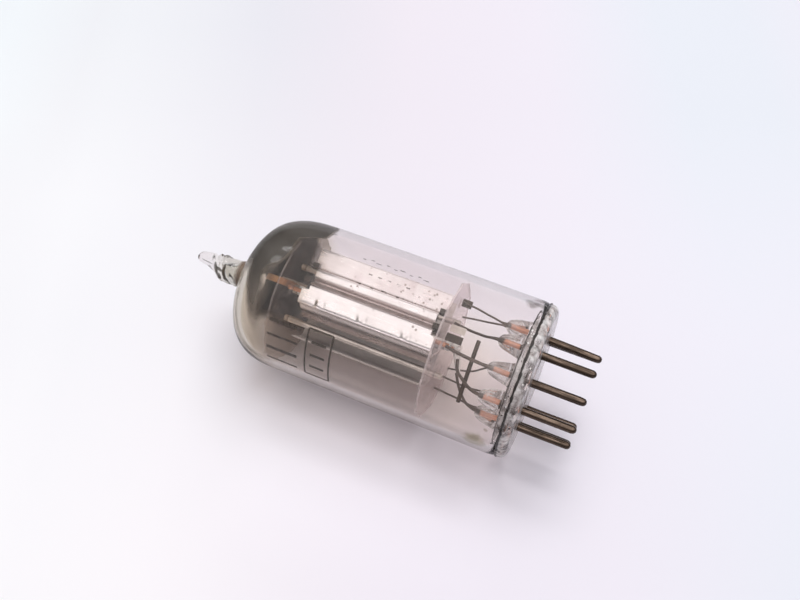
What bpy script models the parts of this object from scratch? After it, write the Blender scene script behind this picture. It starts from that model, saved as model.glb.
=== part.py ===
"""Nine-pin miniature glass vacuum tube: bulb, button stem, pins, lead-in wires and the electrode mount.

Upright, +Z toward the exhaust tip. The origin is the middle of the flat seat under the glass base,
so the pins run down below Z = 0. Pins count clockwise seen from below, with the wide gap between
pin 9 and pin 1 at -X. The mount is laid out in (front, side) coordinates about the bulb's axis:
front points along MOUNT_AZ, and side is 90 degrees anticlockwise from it seen from above.
"""
import math

import bmesh
import bpy
from mathutils import Matrix, Vector

MM = 0.001  # every size below is in millimetres

# ---- glass ----
GLASS_STEPS = 40
BULB_R = 10.3            # outside of the straight wall
BULB_WALL = 0.8
BULB_FOOT_Z = 1.32       # the bulb's fused edge, just above the base glass
BULB_INNER_FOOT_Z = 3.4
DOME_START_Z = 31.2
DOME_HEIGHT = 8.9
DOME_POWER = 3.17        # superellipse exponent of the dome
DOME_END_DEG = 74        # where the dome outline stops short of the axis
DOME_CROWN_DROP = 0.1    # inside of the crown below the even wall thickness
TIP_TOP_Z = 49.2         # sealed end of the exhaust tube
STEM_R = 10.15
STEM_SEAT_R = 4.4        # flat disc inside the pin circle
STEM_TOP_Z = 2.4
STEM_STEP = 0.1          # the pin ring sits this far above the seat disc
BEAD_TOP_Z = 5.5

# ---- pins and leads ----
PIN_COUNT = 9
PIN_CIRCLE_R = 5.944
PIN_R = 0.508
PIN_PITCH = math.radians(36.0)
PIN_STEPS = 12
PIN_BELOW = 6.75
PIN_IN_GLASS = 0.75
PIN_FIT = 0.03           # room around and above a pin in its hole
LEAD_R = 0.3
LEAD_FIT = 0.05          # radial room around a lead in the glass
LEAD_FOOT_Z = PIN_IN_GLASS + 0.06
LEAD_BEND = 0.8

# ---- mica spacers ----
MICA_R = 9.2             # over the teeth
MICA_TOOTH = 0.3         # tooth height
MICA_FLAT = 8.75         # the front and back flats, from the axis
MICA_STEPS = 48          # points round the rim
MICA_TOOTH_EVERY = 4     # one rim point in four is a tooth
MICA_T = 0.25
MICA_LOW_Z = 12.0        # underside of the lower spacer
MICA_HIGH_Z = 33.0       # underside of the upper spacer
MICA_FIT = 0.05          # radial room around parts through a spacer

# ---- electrode mount ----
MOUNT_AZ = math.radians(36.36)
PLATE_LOW_Z = 12.95
PLATE_HIGH_Z = 31.8
SHEET = 0.22             # plate metal
ROD_R = 0.42
GRID_ROD_R = 0.3
CATHODE_R = 0.62
CATHODE_WALL = 0.14

# Places in the mount, as (front, side)
TRIODE_MID = (1.0, 0.6)  # triode cathode
GRID_OFFSET = 2.15       # each grid rod to the triode cathode, along front
GRID_FRONT = (TRIODE_MID[0] + GRID_OFFSET, TRIODE_MID[1])
GRID_BACK = (TRIODE_MID[0] - GRID_OFFSET, TRIODE_MID[1])
ROD_A = (1.15, 3.72)     # support rod inside the plate's rolled channel
ROD_B = (0.9, -3.4)      # bare support rod
DIODE_MID = (-5.1, 0.9)  # diode cathode
SHIELD_FRONT = -2.75

# Bottom and top of the parts that pass through both spacers
ROD_SPAN = (MICA_LOW_Z - 0.9, MICA_HIGH_Z + 1.15)
CATHODE_SPAN = (MICA_LOW_Z - 0.7, MICA_HIGH_Z + 0.8)
GRID_ROD_SPAN = (MICA_LOW_Z - 0.8, MICA_HIGH_Z + 0.9)


# ---- materials ----
def material(name, *, colour, roughness, metallic, alpha=1.0):
    made = bpy.data.materials.new(name)
    made.use_nodes = True
    inputs = made.node_tree.nodes["Principled BSDF"].inputs
    inputs["Base Color"].default_value = (*colour, 1.0)
    inputs["Roughness"].default_value = roughness
    inputs["Metallic"].default_value = metallic
    inputs["Alpha"].default_value = alpha
    return made


for old in list(bpy.data.objects):
    bpy.data.objects.remove(old, do_unlink=True)

GLASS = material("clear_glass", colour=(0.86, 0.87, 0.86), roughness=0.05, metallic=0.0, alpha=0.35)
PIN_METAL = material("oxidised_pin", colour=(0.20, 0.18, 0.15), roughness=0.45, metallic=0.9)
NICKEL = material("bright_nickel", colour=(0.80, 0.78, 0.76), roughness=0.28, metallic=1.0)
GREY_METAL = material("grey_nickel", colour=(0.34, 0.31, 0.30), roughness=0.45, metallic=0.9)
MICA = material("mica_sheet", colour=(0.72, 0.62, 0.56), roughness=0.35, metallic=0.0)
COPPER = material("copper_wire", colour=(0.62, 0.36, 0.24), roughness=0.4, metallic=0.9)
WHITE_COAT = material("oxide_coating", colour=(0.88, 0.86, 0.82), roughness=0.8, metallic=0.0)
DARK_STRAP = material("dark_strap", colour=(0.07, 0.05, 0.04), roughness=0.6, metallic=0.4)
BURNT_METAL = material("burnt_getter", colour=(0.45, 0.27, 0.16), roughness=0.5, metallic=0.8)


# ---- placing ----
def to_tube(front, side, z=0.0):
    """Mount point -> tube point, in millimetres."""
    c, s = math.cos(MOUNT_AZ), math.sin(MOUNT_AZ)
    return (front * c - side * s, front * s + side * c, z)


def stand_in_mount(obj, place):
    """Put an object's origin at a (front, side) place and turn it with the mount."""
    x, y, _ = to_tube(*place)
    obj.location = (x * MM, y * MM, 0)
    obj.rotation_euler = (0, 0, MOUNT_AZ)


def pin_angle(pin):
    return math.pi + PIN_PITCH * pin


def pin_xy(pin):
    return PIN_CIRCLE_R * math.cos(pin_angle(pin)), PIN_CIRCLE_R * math.sin(pin_angle(pin))


def placed(x, y, spin=0.0):
    return Matrix.Translation((x * MM, y * MM, 0)) @ Matrix.Rotation(spin, 4, "Z")


# ---- modelling helpers ----
def add(name, mesh, mat, smooth=True):
    obj = bpy.data.objects.new(name, mesh)
    bpy.context.scene.collection.objects.link(obj)
    if mat is not None:
        mesh.materials.append(mat)
    mesh.polygons.foreach_set("use_smooth", [smooth] * len(mesh.polygons))
    return obj


def mesh_from(bm, name):
    bmesh.ops.remove_doubles(bm, verts=bm.verts, dist=1e-7)
    bmesh.ops.recalc_face_normals(bm, faces=bm.faces)
    mesh = bpy.data.meshes.new(name)
    bm.to_mesh(mesh)
    bm.free()
    return mesh


def revolve(profile, steps, name):
    """A closed solid from (r, z) points turned about Z.

    Points at r = 0 become poles. A profile that starts off the axis is joined end to start.
    """
    bm = bmesh.new()
    rows = []
    for r, z in profile:
        if r < 1e-9:
            rows.append([bm.verts.new((0, 0, z * MM))])
            continue
        angles = [2 * math.pi * i / steps for i in range(steps)]
        rows.append([bm.verts.new((r * MM * math.cos(a), r * MM * math.sin(a), z * MM))
                     for a in angles])
    pairs = list(zip(rows, rows[1:]))
    if len(rows[0]) > 1:
        pairs.append((rows[-1], rows[0]))
    for a, b in pairs:
        if len(a) == 1 and len(b) == 1:
            continue
        for i in range(steps):
            j = (i + 1) % steps
            if len(a) == 1:
                bm.faces.new((a[0], b[j], b[i]))
            elif len(b) == 1:
                bm.faces.new((a[i], a[j], b[0]))
            else:
                bm.faces.new((a[i], a[j], b[j], b[i]))
    return mesh_from(bm, name)


def rod(name, place, span, r, mat, steps):
    """An upright round rod in the mount, with small chamfered ends."""
    low, high = span
    chamfer = min(0.12, r * 0.3)
    profile = [(0, low), (r - chamfer, low), (r, low + chamfer),
               (r, high - chamfer), (r - chamfer, high), (0, high)]
    stand_in_mount(add(name, revolve(profile, steps, name), mat), place)


def sleeve(name, place):
    """A thin cathode tube, open at both ends, that the heater sits inside."""
    low, high = CATHODE_SPAN
    bore_r = CATHODE_R - CATHODE_WALL
    profile = [(CATHODE_R, low), (CATHODE_R, high), (bore_r, high), (bore_r, low)]
    stand_in_mount(add(name, revolve(profile, 12, name), WHITE_COAT), place)


def wire(name, points, r, mat, sides=8):
    """A bent round wire through tube points: a bevelled curve with filled ends."""
    curve = bpy.data.curves.new(name, "CURVE")
    curve.dimensions = "3D"
    curve.bevel_depth = r * MM
    curve.bevel_resolution = (sides - 4) // 2
    curve.use_fill_caps = True
    spline = curve.splines.new("POLY")
    spline.points.add(len(points) - 1)
    for spline_point, (x, y, z) in zip(spline.points, points):
        spline_point.co = (x * MM, y * MM, z * MM, 1.0)
    spline.use_smooth = True
    curve.materials.append(mat)
    bpy.context.scene.collection.objects.link(bpy.data.objects.new(name, curve))


def rounded(points, radius, steps):
    """The same path with each inner corner replaced by a quadratic curve of points."""
    out = [Vector(points[0])]
    for before, corner, after in zip(points, points[1:], points[2:]):
        corner = Vector(corner)
        back, ahead = Vector(before) - corner, Vector(after) - corner
        reach = min(radius, 0.45 * back.length, 0.45 * ahead.length)
        start = corner + back.normalized() * reach
        end = corner + ahead.normalized() * reach
        for i in range(steps + 1):
            t = i / steps
            out.append((1 - t) ** 2 * start + 2 * t * (1 - t) * corner + t * t * end)
    out.append(Vector(points[-1]))
    return [tuple(p) for p in out]


def sheet(name, section, spans, thick, mat):
    """Bent sheet metal: an open section of (front, side) points, extruded up Z and thickened.

    spans holds (bottom, top) for each strip between neighbouring points.
    """
    normals = []
    for i in range(len(section)):
        before = Vector(section[max(i - 1, 0)])
        after = Vector(section[min(i + 1, len(section) - 1)])
        along = (after - before).normalized()
        normals.append(Vector((-along.y, along.x)))
    levels = sorted({z for span in spans for z in span})
    bm = bmesh.new()
    corners = {}

    def corner(i, z, face):
        key = (i, z, face)
        if key not in corners:
            p = Vector(section[i]) + normals[i] * (face * thick / 2)
            corners[key] = bm.verts.new((p.x * MM, p.y * MM, z * MM))
        return corners[key]

    filled = {(i, k) for i, (low, high) in enumerate(spans) for k in range(len(levels) - 1)
              if levels[k] >= low - 1e-9 and levels[k + 1] <= high + 1e-9}
    for i, k in sorted(filled):
        z0, z1 = levels[k], levels[k + 1]
        for face in (-1, 1):
            bm.faces.new([corner(i, z0, face), corner(i + 1, z0, face),
                          corner(i + 1, z1, face), corner(i, z1, face)])
        # Each edge that has no filled neighbour gets a face through the thickness.
        edges = [((i - 1, k), (i, z0), (i, z1)),
                 ((i + 1, k), (i + 1, z0), (i + 1, z1)),
                 ((i, k - 1), (i, z0), (i + 1, z0)),
                 ((i, k + 1), (i, z1), (i + 1, z1))]
        for neighbour, start, end in edges:
            if neighbour not in filled:
                bm.faces.new([corner(*start, -1), corner(*start, 1),
                              corner(*end, 1), corner(*end, -1)])
    obj = add(name, mesh_from(bm, name), mat, smooth=False)
    obj.rotation_euler = (0, 0, MOUNT_AZ)


def even_sheet(name, section, span, thick, mat):
    """Bent sheet metal with one bottom and one top height."""
    sheet(name, section, [span] * (len(section) - 1), thick, mat)


def cut(target, cutter, operation="DIFFERENCE"):
    """An exact boolean, left in the modifier stack, with its cutter hidden."""
    modifier = target.modifiers.new(cutter.name, "BOOLEAN")
    modifier.operation = operation
    modifier.solver = "EXACT"
    modifier.object = cutter
    cutter.hide_render = True
    cutter.display_type = "WIRE"


def joined(name, parts):
    """One helper object from (mesh, matrix) pairs that don't touch each other."""
    bm = bmesh.new()
    for source, matrix in parts:
        moved = source.copy()
        moved.transform(matrix)
        bm.from_mesh(moved)
        bpy.data.meshes.remove(moved)
    mesh = bpy.data.meshes.new(name)
    bm.to_mesh(mesh)
    bm.free()
    return add(name, mesh, None)


# ---- bulb with the sealed exhaust tube ----
def dome(r, height, first, last, count):
    """Superellipse points between two angles in degrees."""
    out = []
    for i in range(count + 1):
        a = math.radians(first + (last - first) * i / count)
        out.append((r * math.cos(a) ** (2 / DOME_POWER),
                    DOME_START_Z + height * math.sin(a) ** (2 / DOME_POWER)))
    return out


def build_envelope():
    inner_r = BULB_R - BULB_WALL
    inner_height = DOME_HEIGHT - BULB_WALL
    # (r, z) up the outside of the foot and wall
    foot = [(BULB_R - 0.95, BULB_FOOT_Z), (BULB_R - 0.12, BULB_FOOT_Z),
            (BULB_R, BULB_FOOT_Z + 0.9), (BULB_R, 16.0)]
    # (r, z) up the outside of the exhaust tube
    tip = [(2.35, 40.55), (1.85, 41.7), (1.75, 42.9), (1.45, 44.4), (1.12, 46.0), (0.95, 47.6),
           (0.72, 48.75), (0.35, TIP_TOP_Z - 0.05), (0, TIP_TOP_Z)]
    outer = foot + dome(BULB_R, DOME_HEIGHT, 0, DOME_END_DEG, 9) + tip
    inner = [(0, DOME_START_Z + inner_height - DOME_CROWN_DROP)]
    inner += dome(inner_r, inner_height, DOME_END_DEG, 0, 8)
    inner += [(inner_r, BULB_INNER_FOOT_Z)]
    add("glass_envelope", revolve(outer + inner, GLASS_STEPS, "glass_envelope"), GLASS)


# ---- button stem: moulded glass base with a bead and a stepped hole at each pin ----
def at_each_pin(name, mesh):
    return joined(name, [(mesh, placed(*pin_xy(pin), pin_angle(pin)))
                         for pin in range(1, PIN_COUNT + 1)])


def build_stem():
    # (r, z) from the seat, out round the rim and back over the top
    profile = [(0, 0), (STEM_SEAT_R, 0), (STEM_SEAT_R + 0.25, STEM_STEP), (9.0, STEM_STEP),
               (9.65, 0.28), (10.0, 0.68), (STEM_R, BULB_FOOT_Z - 0.05),
               (BULB_R - 0.98, BULB_FOOT_Z - 0.03), (BULB_R - 1.1, 1.75), (8.6, STEM_TOP_Z),
               (0, STEM_TOP_Z)]
    stem = add("button_stem", revolve(profile, GLASS_STEPS, "button_stem"), GLASS)

    # (r, z) up the bead, starting inside the base glass
    bead_profile = [(0, 1.6), (1.3, 1.6), (1.3, 2.5), (1.12, 3.1), (1.0, 4.4), (0.86, 5.1),
                    (0.55, BEAD_TOP_Z), (0, BEAD_TOP_Z)]
    # Wide for the pin, then narrow for the lead; it overshoots the glass at both ends.
    hole_low_z, hole_high_z = -1.0, 6.5
    hole_r = PIN_R + PIN_FIT
    lead_hole_r = LEAD_R + LEAD_FIT
    hole_step_z = PIN_IN_GLASS + PIN_FIT
    hole_profile = [(0, hole_low_z), (hole_r, hole_low_z), (hole_r, hole_step_z),
                    (lead_hole_r, hole_step_z), (lead_hole_r, hole_high_z), (0, hole_high_z)]
    cut(stem, at_each_pin("bead_set", revolve(bead_profile, PIN_STEPS, "bead")), "UNION")
    cut(stem, at_each_pin("hole_set", revolve(hole_profile, PIN_STEPS, "hole")))


# ---- nine contact pins, sharing one mesh ----
def build_pins():
    profile = [(0, PIN_IN_GLASS), (PIN_R, PIN_IN_GLASS), (PIN_R, -PIN_BELOW + 0.5),
               (PIN_R * 0.86, -PIN_BELOW + 0.18), (PIN_R * 0.5, -PIN_BELOW + 0.03),
               (0, -PIN_BELOW)]
    mesh = revolve(profile, PIN_STEPS, "pin")
    mesh.materials.append(PIN_METAL)
    for i in range(1, PIN_COUNT + 1):
        pin = add(f"pin_{i}", mesh, None)
        x, y = pin_xy(i)
        pin.location = (x * MM, y * MM, 0)
        pin.rotation_euler = (0, 0, pin_angle(i))


# ---- mica spacers ----
# (place, radius) of every part that passes through a spacer
MICA_PASSAGES = [(ROD_A, ROD_R), (ROD_B, ROD_R), (GRID_FRONT, GRID_ROD_R),
                 (GRID_BACK, GRID_ROD_R), (TRIODE_MID, CATHODE_R), (DIODE_MID, CATHODE_R)]


def build_mica(name, z):
    """A round spacer with short teeth round its rim and flats at front and back."""
    bm = bmesh.new()
    rim = []
    for i in range(MICA_STEPS):
        a = 2 * math.pi * i / MICA_STEPS
        r = MICA_R if i % MICA_TOOTH_EVERY == 0 else MICA_R - MICA_TOOTH
        front = min(max(r * math.cos(a), -MICA_FLAT), MICA_FLAT)
        rim.append((front, r * math.sin(a)))
    low = [bm.verts.new((x * MM, y * MM, z * MM)) for x, y in rim]
    high = [bm.verts.new((x * MM, y * MM, (z + MICA_T) * MM)) for x, y in rim]
    bm.faces.new(low[::-1])
    bm.faces.new(high)
    for i in range(MICA_STEPS):
        j = (i + 1) % MICA_STEPS
        bm.faces.new((low[i], low[j], high[j], high[i]))
    spacer = add(name, mesh_from(bm, name), MICA, smooth=False)
    spacer.rotation_euler = (0, 0, MOUNT_AZ)

    holes = []
    for place, part_r in MICA_PASSAGES:
        r = part_r + MICA_FIT
        profile = [(0, z - 1), (r, z - 1), (r, z + 1), (0, z + 1)]
        holes.append((revolve(profile, 10, "mica_hole"), placed(*place)))
    cutter = joined(name + "_holes", holes)
    cutter.rotation_euler = (0, 0, MOUNT_AZ)
    cut(spacer, cutter)


# ---- heaters ----
HEATER_R = 0.12
HEATER_GAP = 0.26        # each leg from the middle of its sleeve


def build_heater(name, place, first_end, last_end):
    """A folded filament: up inside the sleeve, over and down, each leg led out below."""
    front, side = place
    low = MICA_LOW_Z - 1.15
    shoulder = MICA_HIGH_Z - 0.4
    top = MICA_HIGH_Z + 0.1
    path = [first_end, (front, side - HEATER_GAP, low), (front, side - HEATER_GAP, shoulder),
            (front, side, top),
            (front, side + HEATER_GAP, shoulder), (front, side + HEATER_GAP, low), last_end]
    points = rounded([to_tube(*p) for p in path], 0.3, 2)
    wire(name, points, HEATER_R, WHITE_COAT, 6)


# ---- grid: a flattened helix of fine wire round the two grid rods ----
def build_grid_winding():
    turns, per_turn = 15, 12
    wire_r = 0.07
    half_front = GRID_OFFSET + GRID_ROD_R + 0.16
    half_side = 0.88
    low, high = PLATE_LOW_Z + 1.2, PLATE_HIGH_Z - 1.2
    points = []
    for i in range(turns * per_turn + 1):
        a = 2 * math.pi * i / per_turn
        points.append(to_tube(TRIODE_MID[0] + half_front * math.cos(a),
                              TRIODE_MID[1] + half_side * math.sin(a),
                              low + (high - low) * i / (turns * per_turn)))
    wire("grid_winding", points, wire_r, GREY_METAL, 4)


# ---- plates and shield ----
FULL = (PLATE_LOW_Z, PLATE_HIGH_Z)
SHORT = (PLATE_LOW_Z + 0.75, PLATE_HIGH_Z - 0.35)

# Sections as (front, side), from the +side edge to the -side edge
PLATE_FRONT_SECTION = [
    (1.3, 7.0), (1.3, 4.75), (1.62, 4.32), (1.92, 3.98), (1.95, 3.5), (1.65, 3.12),
    (1.32, 2.75), (1.4, 2.35), (3.1, 1.9), (4.05, 1.75), (4.3, 1.4), (4.3, -0.2),
    (4.0, -0.55), (3.2, -0.7), (1.4, -1.05), (1.3, -1.6), (1.3, -2.3)]
PLATE_BACK_SECTION = [
    (1.0, 7.0), (1.0, 4.75), (0.68, 4.32), (0.38, 3.98), (0.35, 3.5), (0.65, 3.12),
    (0.98, 2.75), (0.85, 2.35), (-1.0, 1.95), (-1.9, 1.6), (-1.95, -0.4), (-1.0, -0.75),
    (0.85, -1.05), (1.0, -1.6), (1.0, -2.3)]
SHIELD_SECTION = [
    (SHIELD_FRONT, 6.3), (SHIELD_FRONT, 0.6), (SHIELD_FRONT, -4.6),
    (SHIELD_FRONT + 0.3, -5.05), (-1.2, -5.3), (1.3, -5.3)]


def build_diode_plates():
    """Three stacked plates round the diode cathode, open to the front, with a lip at each edge."""
    plate_r, lip = 1.45, 0.75
    first_z, pitch, height = PLATE_LOW_Z + 0.6, 6.2, 4.9
    arc_degrees, arc_steps = 300, 12
    arc = []
    for i in range(arc_steps + 1):
        a = math.radians(-arc_degrees / 2 + arc_degrees * i / arc_steps) + math.pi
        arc.append((DIODE_MID[0] + plate_r * math.cos(a), DIODE_MID[1] + plate_r * math.sin(a)))
    section = [(arc[0][0], arc[0][1] + lip)] + arc + [(arc[-1][0], arc[-1][1] - lip)]
    for k in range(3):
        low = first_z + pitch * k
        even_sheet(f"diode_plate_{k + 1}", section, (low, low + height), SHEET, GREY_METAL)


# ---- lead-in wires, one above each pin ----
# For pins 1 to 9: height where the wire leaves the pin's axis, then its (front, side, z) points
LEAD_PATHS = [
    (6.4, [(-5.6, -1.6, 8.6), (-5.3, -2.2, 11.7)]),
    (6.4, [(-3.6, -3.7, 8.4), (-3.2, -3.4, 11.7)]),
    (6.3, [(-0.9, -5.3, 8.2), (-0.2, -5.05, 11.7)]),
    (5.8, [(2.2, -5.3, 6.9), (2.5, -3.9, 8.3), (2.2, -2.2, 9.3)]),
    (6.1, [(4.5, -3.2, 7.1), (3.3, -2.0, 9.2), (2.5, -0.6, 9.7)]),
    (6.0, [(5.3, 0.05, 8.3), (4.6, 0.25, 10.2), (4.1, 0.5, 11.4)]),
    (6.0, [(4.2, 3.25, 7.0), (2.6, 3.3, 9.2), (2.25, 3.6, 11.7)]),
    (5.9, [(1.75, 5.9, 7.6), (1.5, 6.3, 9.8), (1.5, 6.5, 11.7)]),
    (6.4, [(-1.9, 5.3, 8.8), (-2.0, 4.9, 11.7)]),
]


def build_leads():
    for pin, (leave_z, bends) in enumerate(LEAD_PATHS, start=1):
        x, y = pin_xy(pin)
        path = [(x, y, LEAD_FOOT_Z), (x, y, leave_z)] + [to_tube(*p) for p in bends]
        wire(f"lead_wire_{pin}", rounded(path, LEAD_BEND, 2), LEAD_R, COPPER)


# ---- connections under the lower spacer ----
STRAP_TOP_Z = MICA_LOW_Z - 0.1
# name, front, side from and to, bottom, thickness, material
STRAPS = [
    ("grid_strap", 3.75, 1.15, 2.15, 9.75, 0.2, GREY_METAL),
    ("cathode_strap", 2.8, 2.45, 3.35, 9.9, 0.2, NICKEL),
    ("plate_tab", 1.05, 5.95, 6.95, 10.6, SHEET, GREY_METAL),
]


def build_connections():
    bar_ends = [to_tube(3.35, 2.45, 7.95), to_tube(3.35, -5.35, 7.75)]
    wire("connecting_bar", bar_ends, 0.28, DARK_STRAP)
    for name, front, side_from, side_to, low, thick, mat in STRAPS:
        section = [(front, side_from), (front, side_to)]
        even_sheet(name, section, (low, STRAP_TOP_Z), thick, mat)


# ---- getter: an upright ring of channel on a wire above the upper spacer ----
GETTER_PLACE = (0.3, 0.95)
GETTER_Z = 36.15
RING_R = 2.0             # middle of the channel
RING_HALF_T = 0.32       # half the channel's radial size
RING_HALF_W = 0.27       # half the channel's size along the ring's axis
RING_WALL = 0.15         # channel side walls
RING_FLOOR = 0.17        # channel floor


def build_getter():
    front, side = GETTER_PLACE
    post = (front - RING_R, side + RING_HALF_W + 0.25)
    ends = [to_tube(*post, MICA_HIGH_Z + MICA_T + 0.05), to_tube(*post, GETTER_Z + 0.9)]
    wire("getter_support", rounded(ends, 0.2, 1), 0.22, NICKEL, 6)

    wall_at = RING_HALF_T - RING_WALL
    floor_at = -RING_HALF_W + RING_FLOOR
    # Channel section as (radial, axial), open toward +axial
    channel = [(-RING_HALF_T, -RING_HALF_W), (RING_HALF_T, -RING_HALF_W),
               (RING_HALF_T, RING_HALF_W), (wall_at, RING_HALF_W), (wall_at, floor_at),
               (-wall_at, floor_at), (-wall_at, RING_HALF_W), (-RING_HALF_T, RING_HALF_W)]
    mesh = revolve([(RING_R + radial, axial) for radial, axial in channel], 24, "getter_ring")
    getter = add("getter_ring", mesh, BURNT_METAL, smooth=False)
    getter.location = [value * MM for value in to_tube(front, side, GETTER_Z)]
    # Stood on edge, the open side of the channel faces -side.
    getter.rotation_euler = (math.radians(90), 0, MOUNT_AZ)


# ---- build ----
build_envelope()
build_stem()
build_pins()
build_mica("mica_bottom", MICA_LOW_Z)
build_mica("mica_top", MICA_HIGH_Z)
rod("support_rod_a", ROD_A, ROD_SPAN, ROD_R, NICKEL, 10)
rod("support_rod_b", ROD_B, ROD_SPAN, ROD_R, NICKEL, 10)
sleeve("triode_cathode", TRIODE_MID)
sleeve("diode_cathode", DIODE_MID)
build_heater("triode_heater", TRIODE_MID, (1.75, -1.75, 9.55), (2.35, -0.1, 9.95))
build_heater("diode_heater", DIODE_MID, (1.7, -2.45, 8.95), (2.0, -0.75, 9.75))
rod("grid_rod_front", GRID_FRONT, GRID_ROD_SPAN, GRID_ROD_R, COPPER, 8)
rod("grid_rod_back", GRID_BACK, GRID_ROD_SPAN, GRID_ROD_R, COPPER, 8)
build_grid_winding()
# The strips that bulge round support rod A, and those next to them, are shorter.
sheet("triode_plate_front", PLATE_FRONT_SECTION, [FULL] + [SHORT] * 8 + [FULL] * 7, SHEET, NICKEL)
sheet("triode_plate_back", PLATE_BACK_SECTION, [FULL] + [SHORT] * 7 + [FULL] * 6, SHEET, NICKEL)
even_sheet("shield_plate", SHIELD_SECTION, FULL, SHEET, GREY_METAL)
build_diode_plates()
build_leads()
build_connections()
build_getter()
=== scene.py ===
import math

import bmesh
import bpy
import numpy as np
from mathutils import Matrix, Vector, noise


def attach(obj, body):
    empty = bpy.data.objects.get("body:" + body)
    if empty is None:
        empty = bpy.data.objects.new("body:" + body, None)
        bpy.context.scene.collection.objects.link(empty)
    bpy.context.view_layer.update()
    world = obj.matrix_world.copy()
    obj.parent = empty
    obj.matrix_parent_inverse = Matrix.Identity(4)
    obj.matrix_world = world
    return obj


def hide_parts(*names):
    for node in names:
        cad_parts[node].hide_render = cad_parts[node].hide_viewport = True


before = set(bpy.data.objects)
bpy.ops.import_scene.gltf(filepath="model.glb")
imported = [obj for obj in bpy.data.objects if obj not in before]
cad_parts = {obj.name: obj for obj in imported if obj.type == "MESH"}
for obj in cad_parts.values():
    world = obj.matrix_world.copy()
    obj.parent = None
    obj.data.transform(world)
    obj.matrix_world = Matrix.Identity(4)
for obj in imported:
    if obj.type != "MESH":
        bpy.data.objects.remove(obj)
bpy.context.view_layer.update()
MM = 0.001

# ------------------------------------------------------------------ frame of the electrode mount
# The mount's front faces this way in the row frame. Section points are (front, side) from the bulb's axis.
AZ = math.radians(36.356)
CA, SA = math.cos(AZ), math.sin(AZ)
PIN_R_CIRCLE = 5.944


def P(h, u, z):
    """Mount point (front, side, height) in millimetres -> row frame in metres."""
    return Vector(((h * CA - u * SA) * MM, (h * SA + u * CA) * MM, z * MM))


def PA(a):
    """The same for an array of rows."""
    a = np.asarray(a, float)
    return np.stack([(a[:, 0] * CA - a[:, 1] * SA), (a[:, 0] * SA + a[:, 1] * CA), a[:, 2]], 1) * MM


def pin_angle(i):
    return math.pi + math.radians(36.0) * i


def pin_hu(i):
    a = pin_angle(i) - AZ
    return PIN_R_CIRCLE * math.cos(a), PIN_R_CIRCLE * math.sin(a)


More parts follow.
